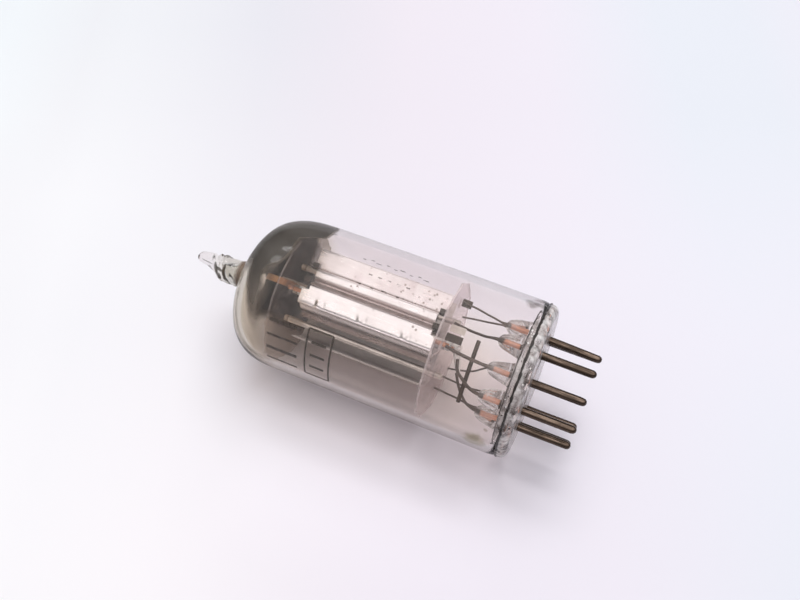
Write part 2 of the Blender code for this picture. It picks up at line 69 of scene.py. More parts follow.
# ------------------------------------------------------------------ node helpers
class Mat:
    """A small wrapper that builds one node material."""

    def __init__(self, name):
        self.m = bpy.data.materials.new(name)
        self.m.use_nodes = True
        self.nt = self.m.node_tree
        self.nt.nodes.clear()
        self.out = self.nt.nodes.new("ShaderNodeOutputMaterial")
        self._co = None

    def n(self, kind, **kw):
        node = self.nt.nodes.new(kind)
        for k, v in kw.items():
            setattr(node, k, v)
        return node

    def put(self, socket, value):
        if hasattr(value, "is_output") or isinstance(value, bpy.types.NodeSocket):
            self.nt.links.new(value, socket)
        elif isinstance(value, (tuple, list)) and socket.type == "RGBA" and len(value) == 3:
            socket.default_value = (*value, 1.0)
        else:
            socket.default_value = value

    def coords(self):
        if self._co is None:
            self._co = self.n("ShaderNodeTexCoord").outputs["Object"]
        return self._co

    def scaled(self, scale, turn=0.0):
        mp = self.n("ShaderNodeMapping")
        self.put(mp.inputs["Vector"], self.coords())
        mp.inputs["Scale"].default_value = scale
        mp.inputs["Rotation"].default_value = (0, 0, turn)
        return mp.outputs["Vector"]

    def noise(self, scale, detail=3.0, rough=0.5, vec=None, dims=None):
        t = self.n("ShaderNodeTexNoise")
        self.put(t.inputs["Vector"], vec if vec is not None else self.coords())
        t.inputs["Scale"].default_value = scale
        t.inputs["Detail"].default_value = detail
        t.inputs["Roughness"].default_value = rough
        return t.outputs["Fac"]

    def voronoi(self, scale, vec=None, feature="F1"):
        t = self.n("ShaderNodeTexVoronoi", feature=feature)
        self.put(t.inputs["Vector"], vec if vec is not None else self.coords())
        t.inputs["Scale"].default_value = scale
        return t.outputs["Distance"]

    def ramp(self, fac, stops, interp="LINEAR"):
        r = self.n("ShaderNodeValToRGB")
        r.color_ramp.interpolation = interp
        els = r.color_ramp.elements
        while len(els) < len(stops):
            els.new(0.5)
        for e, (pos, col) in zip(els, stops):
            e.position = pos
            e.color = (*col, 1.0) if len(col) == 3 else col
        self.put(r.inputs["Fac"], fac)
        return r.outputs["Color"]

    def math(self, op, a, b=0.0, clamp=False):
        m = self.n("ShaderNodeMath", operation=op, use_clamp=clamp)
        self.put(m.inputs[0], a)
        self.put(m.inputs[1], b)
        return m.outputs[0]

    def remap(self, v, a0, a1, b0=0.0, b1=1.0, smooth=False):
        m = self.n("ShaderNodeMapRange", clamp=True)
        if smooth:
            m.interpolation_type = "SMOOTHSTEP"
        self.put(m.inputs["Value"], v)
        for k, x in (("From Min", a0), ("From Max", a1), ("To Min", b0), ("To Max", b1)):
            self.put(m.inputs[k], x)
        return m.outputs["Result"]

    def mix(self, fac, a, b):
        m = self.n("ShaderNodeMix", data_type="RGBA")
        self.put(m.inputs[0], fac)
        self.put(m.inputs[6], a)
        self.put(m.inputs[7], b)
        return m.outputs[2]

    def bump(self, height, strength=0.3, dist=0.0001, normal=None):
        b = self.n("ShaderNodeBump")
        b.inputs["Strength"].default_value = strength
        b.inputs["Distance"].default_value = dist
        self.put(b.inputs["Height"], height)
        if normal is not None:
            self.put(b.inputs["Normal"], normal)
        return b.outputs["Normal"]

    def axes(self):
        """(front, side, height) of the mount in millimetres, as three values."""
        v = self.n("ShaderNodeVectorRotate", rotation_type="Z_AXIS")
        self.put(v.inputs["Vector"], self.coords())
        v.inputs["Angle"].default_value = -AZ
        s = self.n("ShaderNodeSeparateXYZ")
        self.put(s.inputs[0], v.outputs[0])
        return [self.math("MULTIPLY", s.outputs[k], 1000.0) for k in range(3)]

    def principled(self, **kw):
        b = self.n("ShaderNodeBsdfPrincipled")
        for k, v in kw.items():
            self.put(b.inputs[k.replace("_", " ")], v)
        return b.outputs[0]

    def mixed(self, fac, a, b):
        m = self.n("ShaderNodeMixShader")
        self.put(m.inputs[0], fac)
        self.nt.links.new(a, m.inputs[1])
        self.nt.links.new(b, m.inputs[2])
        return m.outputs[0]

    def done(self, shader):
        self.nt.links.new(shader, self.out.inputs["Surface"])
        return self.m


def clear_glass(name, tint, rough=0.0, wave=0.0, wave_scale=300.0, floor_side_shade=None, milk=None, ior=1.5, gloss=0.4, veil=0.0):
    """Real refraction for what the camera sees, and plain see-through glass for light on its way in."""
    k = Mat(name)
    g = k.n("ShaderNodeBsdfRefraction")
    mirror = k.n("ShaderNodeBsdfAnisotropic")
    mirror.inputs["Roughness"].default_value = rough
    fres = k.n("ShaderNodeFresnel")
    fres.inputs["IOR"].default_value = ior
    col = k.mix(k.noise(120.0, 2.0), tint, tuple(min(1.0, c * 1.02) for c in tint))
    if floor_side_shade is not None:
        sh, su, sz = k.axes()
        # painted light: below 13 mm, and fully below 9.5 mm, the glass is tinted lighter, standing in for light
        # gathered through the clear glass near the stem
        col = k.mix(k.remap(sz, 13.0, 9.5), col, (0.968, 0.956, 0.952))
        # painted shade: on the side that faces the floor the glass takes a warm tint, with a cloudy edge and weaker
        # near the stem, standing in for the shaded floor seen under the bulb
        fall = k.math("ADD", k.math("MULTIPLY", sh, 0.8637), k.math("MULTIPLY", su, 0.5039))
        cloudy = k.math("MULTIPLY", k.math("SUBTRACT", k.noise(160.0, 3.0), 0.5), 4.0)
        low = k.remap(k.math("ADD", fall, cloudy), -1.0, -8.5, 0, 1, smooth=True)
        col = k.mix(k.math("MULTIPLY", low, k.remap(sz, 2.0, 9.0, 0.25, 1.0)), col, floor_side_shade)
        dome_zone = k.math("MULTIPLY", k.remap(sz, 31.5, 34.5, smooth=True), k.remap(sz, 41.5, 40.3))
        col = k.mix(dome_zone, col, (0.868, 0.835, 0.785))
        col = k.mix(k.math("MULTIPLY", k.remap(sz, 41.0, 41.8), k.remap(sz, 46.6, 45.2)), col, (0.86, 0.85, 0.815))
        for (ph, pu, pz, rad, tone) in ((5.0, -8.95, 4.2, 1.75, (0.66, 0.64, 0.53)), (4.9, 9.0, 3.2, 1.15, (0.48, 0.45, 0.43)), (3.2, 9.7, 2.6, 1.0, (0.5, 0.46, 0.44)), (7.3, -7.1, 3.0, 0.45, (0.65, 0.62, 0.55))):
            d2 = k.math("ADD", k.math("POWER", k.math("ABSOLUTE", k.math("SUBTRACT", sh, ph)), 2.0),
                        k.math("ADD", k.math("POWER", k.math("ABSOLUTE", k.math("SUBTRACT", su, pu)), 2.0), k.math("POWER", k.math("ABSOLUTE", k.math("SUBTRACT", sz, pz)), 2.0)))
            edge = k.math("MULTIPLY", k.math("SUBTRACT", k.noise(900.0, 3.0), 0.5), 1.6)
            spot = k.remap(k.math("ADD", k.math("SQRT", d2), edge), rad, rad * 0.45, 0, 0.85, smooth=True)
            col = k.mix(spot, col, tone)
        # painted shade: a thin dark line where the front wall of the dome's low side is seen at a grazing angle, for
        # camera rays only, standing in for the darkening that refraction gives the glass outline
        lw = k.n("ShaderNodeLayerWeight")
        lw.inputs["Blend"].default_value = 0.5
        line = k.math("MULTIPLY", k.remap(lw.outputs["Facing"], 0.57, 0.62), k.remap(lw.outputs["Facing"], 0.72, 0.67))
        first = k.n("ShaderNodeLightPath")
        front = k.n("ShaderNodeNewGeometry")
        line = k.math("MULTIPLY", line, k.math("MULTIPLY", first.outputs["Is Camera Ray"], k.math("SUBTRACT", 1.0, front.outputs["Backfacing"])))
        line = k.math("MULTIPLY", line, k.math("MULTIPLY", k.remap(sz, 31.0, 35.0), k.remap(sz, 41.3, 40.6)))
        line = k.math("MULTIPLY", line, k.math("MULTIPLY", k.remap(su, -1.0, -2.5), k.remap(k.noise(200.0, 2.0), 0.35, 0.6, 0.4, 0.85)))
        col = k.mix(line, col, (0.36, 0.32, 0.275))
    k.put(g.inputs["Color"], col)
    g.inputs["Roughness"].default_value = rough
    g.inputs["IOR"].default_value = ior
    if wave:
        nrm = k.bump(k.noise(wave_scale, 3.0), wave, 0.0004)
        for node in (g, mirror, fres):
            k.put(node.inputs["Normal"], nrm)
    shine = k.math("MULTIPLY", fres.outputs[0], k.remap(fres.outputs[0], 0.12, 0.8, gloss, 1.0))
    t = k.n("ShaderNodeBsdfTransparent")
    lp = k.n("ShaderNodeLightPath")
    # light that has already crossed one wall and leaves by the other is dimmed more, as curved glass spreads it
    beyond = k.math("GREATER_THAN", lp.outputs["Transparent Depth"], 1.5)
    hh, uu, zz = k.axes()
    far = k.mix(k.remap(zz, 10.5, 14.0), (0.985, 0.975, 0.972), (0.905, 0.885, 0.868))
    k.put(t.inputs["Color"], k.mix(beyond, tuple(min(1.0, c * 1.03) for c in tint), far))
    through = k.math("MAXIMUM", lp.outputs["Is Shadow Ray"], lp.outputs["Is Diffuse Ray"])
    shader = k.mixed(shine, g.outputs[0], mirror.outputs[0])
    if milk is not None:
        shader = milk(k, shader)
    if veil:
        # fine dust and finger grease on the outside, seen as a thin grey veil over what is dark
        geo = k.n("ShaderNodeNewGeometry")
        dust = k.n("ShaderNodeBsdfDiffuse")
        k.put(dust.inputs["Color"], k.mix(k.noise(700.0, 3.0), (0.84, 0.79, 0.76), (0.74, 0.70, 0.66)))
        smear = k.noise(5.0, 4.0, 0.65, vec=k.scaled((60, 60, 22), 0.4))
        amount = k.math("MULTIPLY", k.remap(smear, 0.35, 0.68, veil * 0.65, veil * 1.5), k.remap(k.noise(1100.0, 4.0, 0.7), 0.3, 0.7, 0.75, 1.3))
        vh, vu, vz = k.axes()
        amount = k.math("MULTIPLY", amount, k.remap(vz, 1.5, 12.0, 0.35, 1.0))
        amount = k.math("MULTIPLY", amount, k.math("SUBTRACT", 1.0, k.math("MULTIPLY", k.math("MULTIPLY", k.remap(vz, 28.6, 30.2, 0.0, 0.62), k.remap(vz, 34.2, 32.8, 0.25, 1.0)), k.math("MULTIPLY", k.remap(vu, 7.6, 6.0), k.remap(vu, -3.2, -1.2, 0.3, 1.0)))))
        amount = k.math("MULTIPLY", amount, k.math("SUBTRACT", 1.0, geo.outputs["Backfacing"]))
        shader = k.mixed(k.math("MULTIPLY", amount, lp.outputs["Is Camera Ray"]), shader, dust.outputs[0])
    return k.done(k.mixed(through, shader, t.outputs[0]))


def milky_stem(k, shader):
    """Pressed glass is cloudy where it was worked: the rim most of all, the beads a little."""
    h, u, z = k.axes()
    r = k.math("SQRT", k.math("ADD", k.math("MULTIPLY", h, h), k.math("MULTIPLY", u, u)))
    g = k.noise(1300.0, 5.0, 0.7)
    dark = k.remap(z, 2.4, 3.2, 0.0, 1.0)
    tone = k.mix(dark, k.ramp(k.noise(520.0, 5.0, 0.7), [(0.36, (0.26, 0.22, 0.21)), (0.47, (0.62, 0.58, 0.56)), (0.60, (0.97, 0.95, 0.94))]),
                 k.ramp(k.noise(500.0, 3.0), [(0.40, (0.52, 0.49, 0.46)), (0.60, (0.95, 0.93, 0.91))]))
    rim = k.math("MULTIPLY", k.remap(r, 7.6, 9.2), k.remap(k.noise(700.0, 4.0), 0.38, 0.60, 0.12, 0.68))
    bead = k.math("MULTIPLY", k.remap(z, 2.5, 3.4), k.remap(k.noise(600.0, 3.0), 0.42, 0.65, 0.04, 0.30))
    base = k.math("MULTIPLY", k.remap(z, 0.6, 0.1), 0.30)
    fac = k.math("MAXIMUM", k.math("MAXIMUM", rim, bead), base)
    body = k.principled(Base_Color=tone, Roughness=0.35, Normal=k.bump(g, 0.5, 0.0001))
    return k.mixed(fac, shader, body)


def metal(name, base, dark, rough=(0.22, 0.42), streak=(600, 600, 60), stain=0.35, speck=0.0, metallic=1.0, bump=0.12, turn=-AZ):
    """Drawn or rolled metal: fine streaks along the height, cloudy tarnish and small pits."""
    k = Mat(name)
    lines = k.noise(6.0, 4.0, 0.6, vec=k.scaled(streak, turn))
    cloud = k.noise(350.0, 4.0, 0.6)
    col = k.mix(k.remap(cloud, 0.42, 0.75, 0.0, stain), base, dark)
    col = k.mix(k.remap(lines, 0.35, 0.75, 0.0, 0.22), col, tuple(c * 0.6 for c in base))
    if speck:
        dots = k.remap(k.voronoi(1700.0), 0.0, 0.16, speck, 0.0)
        col = k.mix(dots, col, tuple(c * 0.2 for c in dark))
    r = k.remap(k.math("ADD", k.math("MULTIPLY", lines, 0.5), k.math("MULTIPLY", cloud, 0.5)), 0.3, 0.7, rough[0], rough[1])
    nrm = k.bump(k.math("ADD", k.math("MULTIPLY", lines, 0.6), cloud), bump, 0.00006)
    return k, col, r, nrm, metallic


def finish_metal(parts):
    k, col, r, nrm, metallic = parts
    return k.done(k.principled(Base_Color=col, Roughness=r, Metallic=metallic, Normal=nrm))


# ------------------------------------------------------------------ mesh helpers
def obj_from(name, verts, faces, mat, smooth=True, angle=35.0, replaces=()):
    mesh = bpy.data.meshes.new(name)
    mesh.from_pydata([tuple(v) for v in verts], [], faces)
    bm = bmesh.new()
    bm.from_mesh(mesh)
    bmesh.ops.remove_doubles(bm, verts=bm.verts, dist=2e-8)
    bmesh.ops.recalc_face_normals(bm, faces=bm.faces)
    bm.to_mesh(mesh)
    bm.free()
    return place(name, mesh, mat, smooth, angle, replaces)


def place(name, mesh, mat, smooth=True, angle=35.0, replaces=()):
    o = bpy.data.objects.new(name, mesh)
    bpy.context.scene.collection.objects.link(o)
    if mat is not None:
        mesh.materials.append(mat)
    if smooth:
        mesh.shade_smooth()
        mesh.set_sharp_from_angle(angle=math.radians(angle))
    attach(o, "root")
    if replaces:
        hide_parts(*replaces)
    return o


def lathe_data(profile, steps, deform=None):
    """Vertices and faces of a closed solid of revolution from (r, z) in millimetres."""
    verts, rows = [], []
    for r, z in profile:
        if r < 1e-7:
            rows.append([len(verts)])
            verts.append((0.0, 0.0, z))
        else:
            rows.append(list(range(len(verts), len(verts) + steps)))
            for i in range(steps):
                a = 2 * math.pi * i / steps
                verts.append((r * math.cos(a), r * math.sin(a), z))
    faces = []
    pairs = list(zip(rows, rows[1:]))
    if len(rows[0]) > 1:
        pairs.append((rows[-1], rows[0]))
    for a, b in pairs:
        if len(a) == 1 and len(b) == 1:
            continue
        for i in range(steps):
            j = (i + 1) % steps
            if len(a) == 1:
                faces.append((a[0], b[j], b[i]))
            elif len(b) == 1:
                faces.append((a[i], a[j], b[0]))
            else:
                faces.append((a[i], a[j], b[j], b[i]))
    verts = np.array(verts, float)
    if deform is not None:
        verts = deform(verts)
    return verts, faces


def smooth_curve(points, radius, step=0.12):
    """Rounds each corner of a polyline and samples it evenly."""
    pts = [np.array(p, float) for p in points]
    out = [pts[0]]
    for a, b, c in zip(pts, pts[1:], pts[2:]):
        u, v = a - b, c - b
        lu, lv = np.linalg.norm(u), np.linalg.norm(v)
        k = min(radius, 0.48 * lu, 0.48 * lv)
        p, q = b + u / lu * k, b + v / lv * k
        for t in np.linspace(0, 1, 7):
            out.append((1 - t) ** 2 * p + 2 * t * (1 - t) * b + t * t * q)
    out.append(pts[-1])
    out = np.array(out)
    seg = np.linalg.norm(np.diff(out, axis=0), axis=1)
    keep = np.concatenate([[True], seg > 1e-6])
    out = out[keep]
    seg = np.linalg.norm(np.diff(out, axis=0), axis=1)
    s = np.concatenate([[0], np.cumsum(seg)])
    n = max(2, int(round(s[-1] / step)) + 1)
    t = np.linspace(0, s[-1], n)
    return np.stack([np.interp(t, s, out[:, k]) for k in range(out.shape[1])], 1)


def tube_data(path, radius, sides=14, offset=0):
    """A round tube along a path of (front, side, height) points, with domed ends. radius may be one number or one per point."""
    path = np.asarray(path, float)
    n = len(path)
    rad = np.full(n, radius, float) if np.isscalar(radius) else np.asarray(radius, float)
    tang = np.gradient(path, axis=0)
    tang /= np.linalg.norm(tang, axis=1)[:, None] + 1e-12
    ref = np.array([1.0, 0, 0]) if abs(tang[0][0]) < 0.8 else np.array([0, 1.0, 0])
    nrm = np.cross(tang[0], ref)
    nrm /= np.linalg.norm(nrm)
    verts, rows = [], []

    def ring(c, t, nv, r):
        b = np.cross(t, nv)
        rows.append(list(range(offset + len(verts), offset + len(verts) + sides)))
        for i in range(sides):
            a = 2 * math.pi * i / sides
            verts.append(c + r * (math.cos(a) * nv + math.sin(a) * b))

    t0 = tang[0]
    first = len(verts)
    verts.append(path[0] - t0 * rad[0] * 0.35)
    tip0 = offset + first
    ring(path[0] - t0 * rad[0] * 0.24, t0, nrm, rad[0] * 0.62)
    for k in range(n):
        t = tang[k]
        nrm = nrm - t * (nrm @ t)
        nrm /= np.linalg.norm(nrm)
        ring(path[k], t, nrm, rad[k])
    ring(path[-1] + tang[-1] * rad[-1] * 0.24, tang[-1], nrm, rad[-1] * 0.62)
    tip1 = offset + len(verts)
    verts.append(path[-1] + tang[-1] * rad[-1] * 0.35)
    faces = []
    for i in range(sides):
        j = (i + 1) % sides
        faces.append((tip0, rows[0][j], rows[0][i]))
        faces.append((tip1, rows[-1][i], rows[-1][j]))
    for a, b in zip(rows, rows[1:]):
        for i in range(sides):
            j = (i + 1) % sides
            faces.append((a[i], a[j], b[j], b[i]))
    return np.array(verts), faces


def wire(name, points, r, mat, sides=14, bend=0.8, replaces=(), step=0.15, wobble=0.0, seed=0, thin=None):
    path = smooth_curve(points, bend, step)
    if thin is not None:
        r = np.interp(path[:, 2], [5.6, 6.3], [r, thin])
    if wobble:
        for k in range(len(path)):
            q = Vector((path[k][2] * 0.6 + seed * 7.3, seed * 1.7, 0.0))
            path[k][0] += wobble * noise.noise(q)
            path[k][1] += wobble * noise.noise(q + Vector((0, 31.0, 0)))
    v, f = tube_data(path, r, sides)
    return obj_from(name, PA(v), f, mat, angle=50, replaces=replaces)


def sheet(name, section, lims, thick, mat, rows=120, corner=0.12, step=0.1, push=None, replaces=(), angle=40):
    """Bent sheet metal of real thickness. section: (front, side) corners; lims: function of a section point giving (z low, z high); push: function giving a forward offset for (side, z)."""
    sec = smooth_curve(section, corner, step)
    n = len(sec)
    d = np.gradient(sec, axis=0)
    d /= np.linalg.norm(d, axis=1)[:, None]
    nr = np.stack([-d[:, 1], d[:, 0]], 1)
    grid = np.zeros((2, n, rows + 1, 3))
    for i in range(n):
        lo, hi = lims(sec[i][0], sec[i][1])
        z = lo + (hi - lo) * np.linspace(0, 1, rows + 1)
        for side in (0, 1):
            p = sec[i] + nr[i] * (thick / 2) * (1 if side else -1)
            grid[side, i, :, 0] = p[0]
            grid[side, i, :, 1] = p[1]
            grid[side, i, :, 2] = z
    if push is not None:
        off = push(grid[..., 1], grid[..., 2], grid[..., 0])
        grid[..., 0] += off
    verts = grid.reshape(-1, 3)
    idx = np.arange(2 * n * (rows + 1)).reshape(2, n, rows + 1)
    faces = []
    for i in range(n - 1):
        for k in range(rows):
            faces.append((idx[0, i, k], idx[0, i + 1, k], idx[0, i + 1, k + 1], idx[0, i, k + 1]))
            faces.append((idx[1, i, k], idx[1, i, k + 1], idx[1, i + 1, k + 1], idx[1, i + 1, k]))
        faces.append((idx[0, i, 0], idx[1, i, 0], idx[1, i + 1, 0], idx[0, i + 1, 0]))
        faces.append((idx[0, i, rows], idx[0, i + 1, rows], idx[1, i + 1, rows], idx[1, i, rows]))
    for k in range(rows):
        faces.append((idx[0, 0, k], idx[0, 0, k + 1], idx[1, 0, k + 1], idx[1, 0, k]))
        faces.append((idx[0, n - 1, k], idx[1, n - 1, k], idx[1, n - 1, k + 1], idx[0, n - 1, k + 1]))
    return obj_from(name, PA(verts), [tuple(int(q) for q in f) for f in faces], mat, angle=angle, replaces=replaces)


def sstep(x, a, b):
    t = np.clip((np.asarray(x, float) - a) / (b - a), 0, 1)
    return t * t * (3 - 2 * t)


# ------------------------------------------------------------------ materials
M_BULB = clear_glass("bulb_glass_look", (0.950, 0.934, 0.931), 0.0, wave=0.015, wave_scale=160.0, floor_side_shade=(0.977, 0.951, 0.905), veil=0.062)
M_STEM = clear_glass("stem_glass_look", (0.945, 0.925, 0.915), 0.02, wave=0.15, wave_scale=420.0, milk=milky_stem)


def nickel_look():
    parts = metal("bright_nickel_look", (0.965, 0.950, 0.955), (0.74, 0.68, 0.65), rough=(0.22, 0.38), stain=0.3, speck=0.15, bump=0.07)
    k, col, r, nrm, m = parts
    h, u, z = k.axes()
    # painted shade: brown in the valley beside the rolled channel, along the thin seam groove and on the lower side
    # wall, where these faces lie in shade
    valley_shade = k.math("MULTIPLY", k.remap(u, 1.60, 1.90, 0, 1), k.remap(u, 2.72, 2.50, 0, 1))
    seam_shade = k.math("MULTIPLY", k.remap(u, 4.08, 4.15, 0, 1), k.remap(u, 4.29, 4.22, 0, 1))
    lower_wall_shade = k.remap(u, -0.66, -0.82, 0, 1)
    lower_wall_shade = k.math("MULTIPLY", lower_wall_shade, k.remap(u, -1.42, -1.58, 0.27, 0.95))
    stain = k.math("MAXIMUM", k.math("MAXIMUM", k.math("MULTIPLY", valley_shade, 0.85), k.math("MULTIPLY", seam_shade, 0.8)), lower_wall_shade)
    brown = k.mix(k.noise(500.0, 4.0), (0.29, 0.215, 0.20), (0.44, 0.36, 0.34))
    # painted reflection: pinkish grey patches on the upper panel and bands across its height, standing in for the room
    # mirrored in the polished sheet
    panel_reflection = k.math("MULTIPLY", k.remap(u, 4.2, 4.4), k.remap(k.noise(260.0, 3.0), 0.3, 0.7, 0.15, 0.55))
    reflected_bands = k.noise(1.0, 3.0, 0.6, vec=k.scaled((90, 90, 420), -AZ))
    panel_reflection = k.math("ADD", panel_reflection, k.math("MULTIPLY", k.remap(u, 4.2, 4.4), k.remap(reflected_bands, 0.50, 0.72, 0.0, 0.45)), clamp=True)
    col = k.mix(panel_reflection, col, (0.72, 0.645, 0.655))
    col = k.mix(stain, col, brown)
    # painted shade: the lowest strip of the sheet, below the side wall, is near black
    col = k.mix(k.remap(u, -1.5, -1.6, 0.0, 0.85), col, (0.13, 0.10, 0.09))
    spots = k.math("MULTIPLY", k.remap(k.voronoi(1500.0), 0.30, 0.18), k.math("MULTIPLY", k.remap(k.noise(220.0, 2.0), 0.56, 0.64), 0.7))
    col = k.mix(spots, col, (0.22, 0.17, 0.14))
    wall = k.math("MULTIPLY", k.remap(u, -0.86, -0.95), k.remap(u, -1.45, -1.36))
    m = k.math("SUBTRACT", m, k.math("MULTIPLY", wall, 0.15))
    return k.done(k.principled(Base_Color=col, Roughness=r, Metallic=m, Normal=nrm))


M_NICKEL = nickel_look()
M_ROD = finish_metal(metal("support_rod_look", (0.62, 0.575, 0.53), (0.30, 0.26, 0.23), rough=(0.25, 0.42), stain=0.6))
M_GREY = finish_metal(metal("grey_nickel_look", (0.74, 0.67, 0.63), (0.46, 0.40, 0.375), rough=(0.38, 0.6), stain=0.5, metallic=0.4))


def shield_look():
    k, col, r, nrm, m = metal("shield_sheet_look", (0.92, 0.85, 0.80), (0.64, 0.57, 0.53), rough=(0.45, 0.65), stain=0.5, metallic=0.12)
    h, u, z = k.axes()
    col = k.mix(k.remap(h, 0.8, 1.15, 0.0, 0.7), col, (0.30, 0.25, 0.23))
    return k.done(k.principled(Base_Color=col, Roughness=r, Metallic=m, Normal=nrm))


M_SHIELD = shield_look()
M_DARK = finish_metal(metal("dark_strap_look", (0.10, 0.075, 0.06), (0.03, 0.022, 0.018), rough=(0.4, 0.65), stain=0.6, metallic=0.6))
M_COPPER = finish_metal(metal("copper_rod_look", (0.72, 0.40, 0.27), (0.35, 0.17, 0.12), rough=(0.3, 0.5), stain=0.5))
M_BRONZE = finish_metal(metal("burnt_getter_look", (1.0, 0.62, 0.37), (0.62, 0.26, 0.11), rough=(0.22, 0.42), streak=(260, 260, 260), stain=0.9, metallic=0.4, bump=0.6))


def pin_look():
    k, col, r, nrm, m = metal("oxidised_pin_look", (0.080, 0.055, 0.040), (0.02, 0.015, 0.012), rough=(0.12, 0.32), streak=(1200, 1200, 140), stain=0.85, speck=0.6, bump=0.5)
    # painted highlight: the side facing one fixed direction is lighter, in patches like worn oxide
    geo = k.n("ShaderNodeNewGeometry")
    tone = k.n("ShaderNodeVectorMath", operation="DOT_PRODUCT")
    k.put(tone.inputs[0], geo.outputs["True Normal"])
    tone.inputs[1].default_value = (math.cos(AZ + 0.3), math.sin(AZ + 0.3), 0.0)
    lit_side = k.remap(tone.outputs["Value"], 0.88, 0.99, 0, 1, smooth=True)
    patch = k.remap(k.noise(7.0, 4.0, 0.7, vec=k.scaled((420, 420, 55), 0.7)), 0.44, 0.60, 0.15, 1.0)
    col = k.mix(k.math("MULTIPLY", k.math("MULTIPLY", lit_side, patch), 0.68), col, (0.36, 0.265, 0.205))
    # painted shade: the side turned away from that direction is darkened
    rim = k.remap(tone.outputs["Value"], 0.45, -0.1, 0, 0.75)
    col = k.mix(rim, col, (0.018, 0.014, 0.011))
    return k.done(k.principled(Base_Color=col, Roughness=r, Metallic=0.8, Normal=nrm))


M_PIN = pin_look()


def lead_look():
    """Copper-clad inside the bead, dulled nickel-grey above it."""
    k, col, r, nrm, m = metal("lead_wire_look", (0.15, 0.12, 0.105), (0.035, 0.028, 0.024), rough=(0.25, 0.5), stain=0.7)
    h, u, z = k.axes()
    cu = k.mix(k.noise(900.0, 3.0), (0.78, 0.42, 0.30), (0.60, 0.28, 0.18))
    jag = k.math("ADD", z, k.math("MULTIPLY", k.noise(700.0), 0.6))
    fac = k.math("MULTIPLY", k.remap(jag, 5.1, 4.85, 0, 1), k.remap(jag, 2.75, 3.0, 0, 1))
    col = k.mix(fac, col, cu)
    return k.done(k.principled(Base_Color=col, Roughness=r, Metallic=0.75, Normal=nrm))


M_LEAD = lead_look()


def mica_look(name, tint, solid_lo, solid_hi, rim_solid, fog=0.0):
    k = Mat(name)
    flake = k.noise(500.0, 5.0, 0.6, vec=k.scaled((1, 1, 0.05)))
    streak = k.noise(5.0, 4.0, 0.6, vec=k.scaled((900, 70, 50), 0.9))
    col = k.mix(flake, (0.97, 0.88, 0.88), (0.80, 0.70, 0.69))
    if fog:
        h, u, z = k.axes()
        cloudy = k.math("MULTIPLY", k.math("SUBTRACT", k.noise(260.0, 4.0), 0.5), 1.6)
        patch = k.math("MULTIPLY", k.remap(k.math("ADD", u, cloudy), 3.6, 5.0), k.remap(h, 1.2, -0.4))
        col = k.mix(patch, col, k.mix(k.noise(420.0, 4.0), (0.60, 0.53, 0.46), (0.46, 0.40, 0.34)))
    body = k.principled(Base_Color=col, Roughness=k.remap(flake, 0.3, 0.7, 0.12, 0.35), Normal=k.bump(flake, 0.15, 0.00008))
    t = k.n("ShaderNodeBsdfTransparent")
    k.put(t.inputs["Color"], k.mix(flake, tint, tuple(c * 0.92 for c in tint)))
    lw = k.n("ShaderNodeLayerWeight")
    lw.inputs["Blend"].default_value = 0.35
    solid = k.math("ADD", k.remap(lw.outputs["Facing"], 0.0, 1.0, solid_lo, solid_hi), k.math("MULTIPLY", k.remap(streak, 0.5, 0.8), 0.14), clamp=True)
    geo = k.n("ShaderNodeNewGeometry")
    sep = k.n("ShaderNodeSeparateXYZ")
    k.put(sep.inputs[0], geo.outputs["True Normal"])
    rim = k.math("LESS_THAN", k.math("ABSOLUTE", sep.outputs[2]), 0.5)
    solid = k.math("MAXIMUM", solid, k.math("MULTIPLY", rim, rim_solid))
    if fog:
        solid = k.math("MAXIMUM", solid, k.math("MULTIPLY", patch, fog))
    return k.done(k.mixed(solid, t.outputs[0], body))


M_MICA = mica_look("mica_look", (0.965, 0.925, 0.92), 0.08, 0.24, 0.40)
M_MICA_FOGGED = mica_look("fogged_mica_look", (0.90, 0.855, 0.80), 0.03, 0.08, 0.22, 0.62)


def coat_look(name, a, b):
    k = Mat(name)
    g = k.noise(2500.0, 5.0, 0.7)
    col = k.mix(g, a, b)
    return k.done(k.principled(Base_Color=col, Roughness=0.85, Normal=k.bump(g, 0.5, 0.00005)))


M_OXIDE = coat_look("oxide_coating_look", (0.86, 0.84, 0.80), (0.70, 0.67, 0.62))
M_HEATER = coat_look("heater_coating_look", (0.84, 0.80, 0.77), (0.62, 0.52, 0.48))


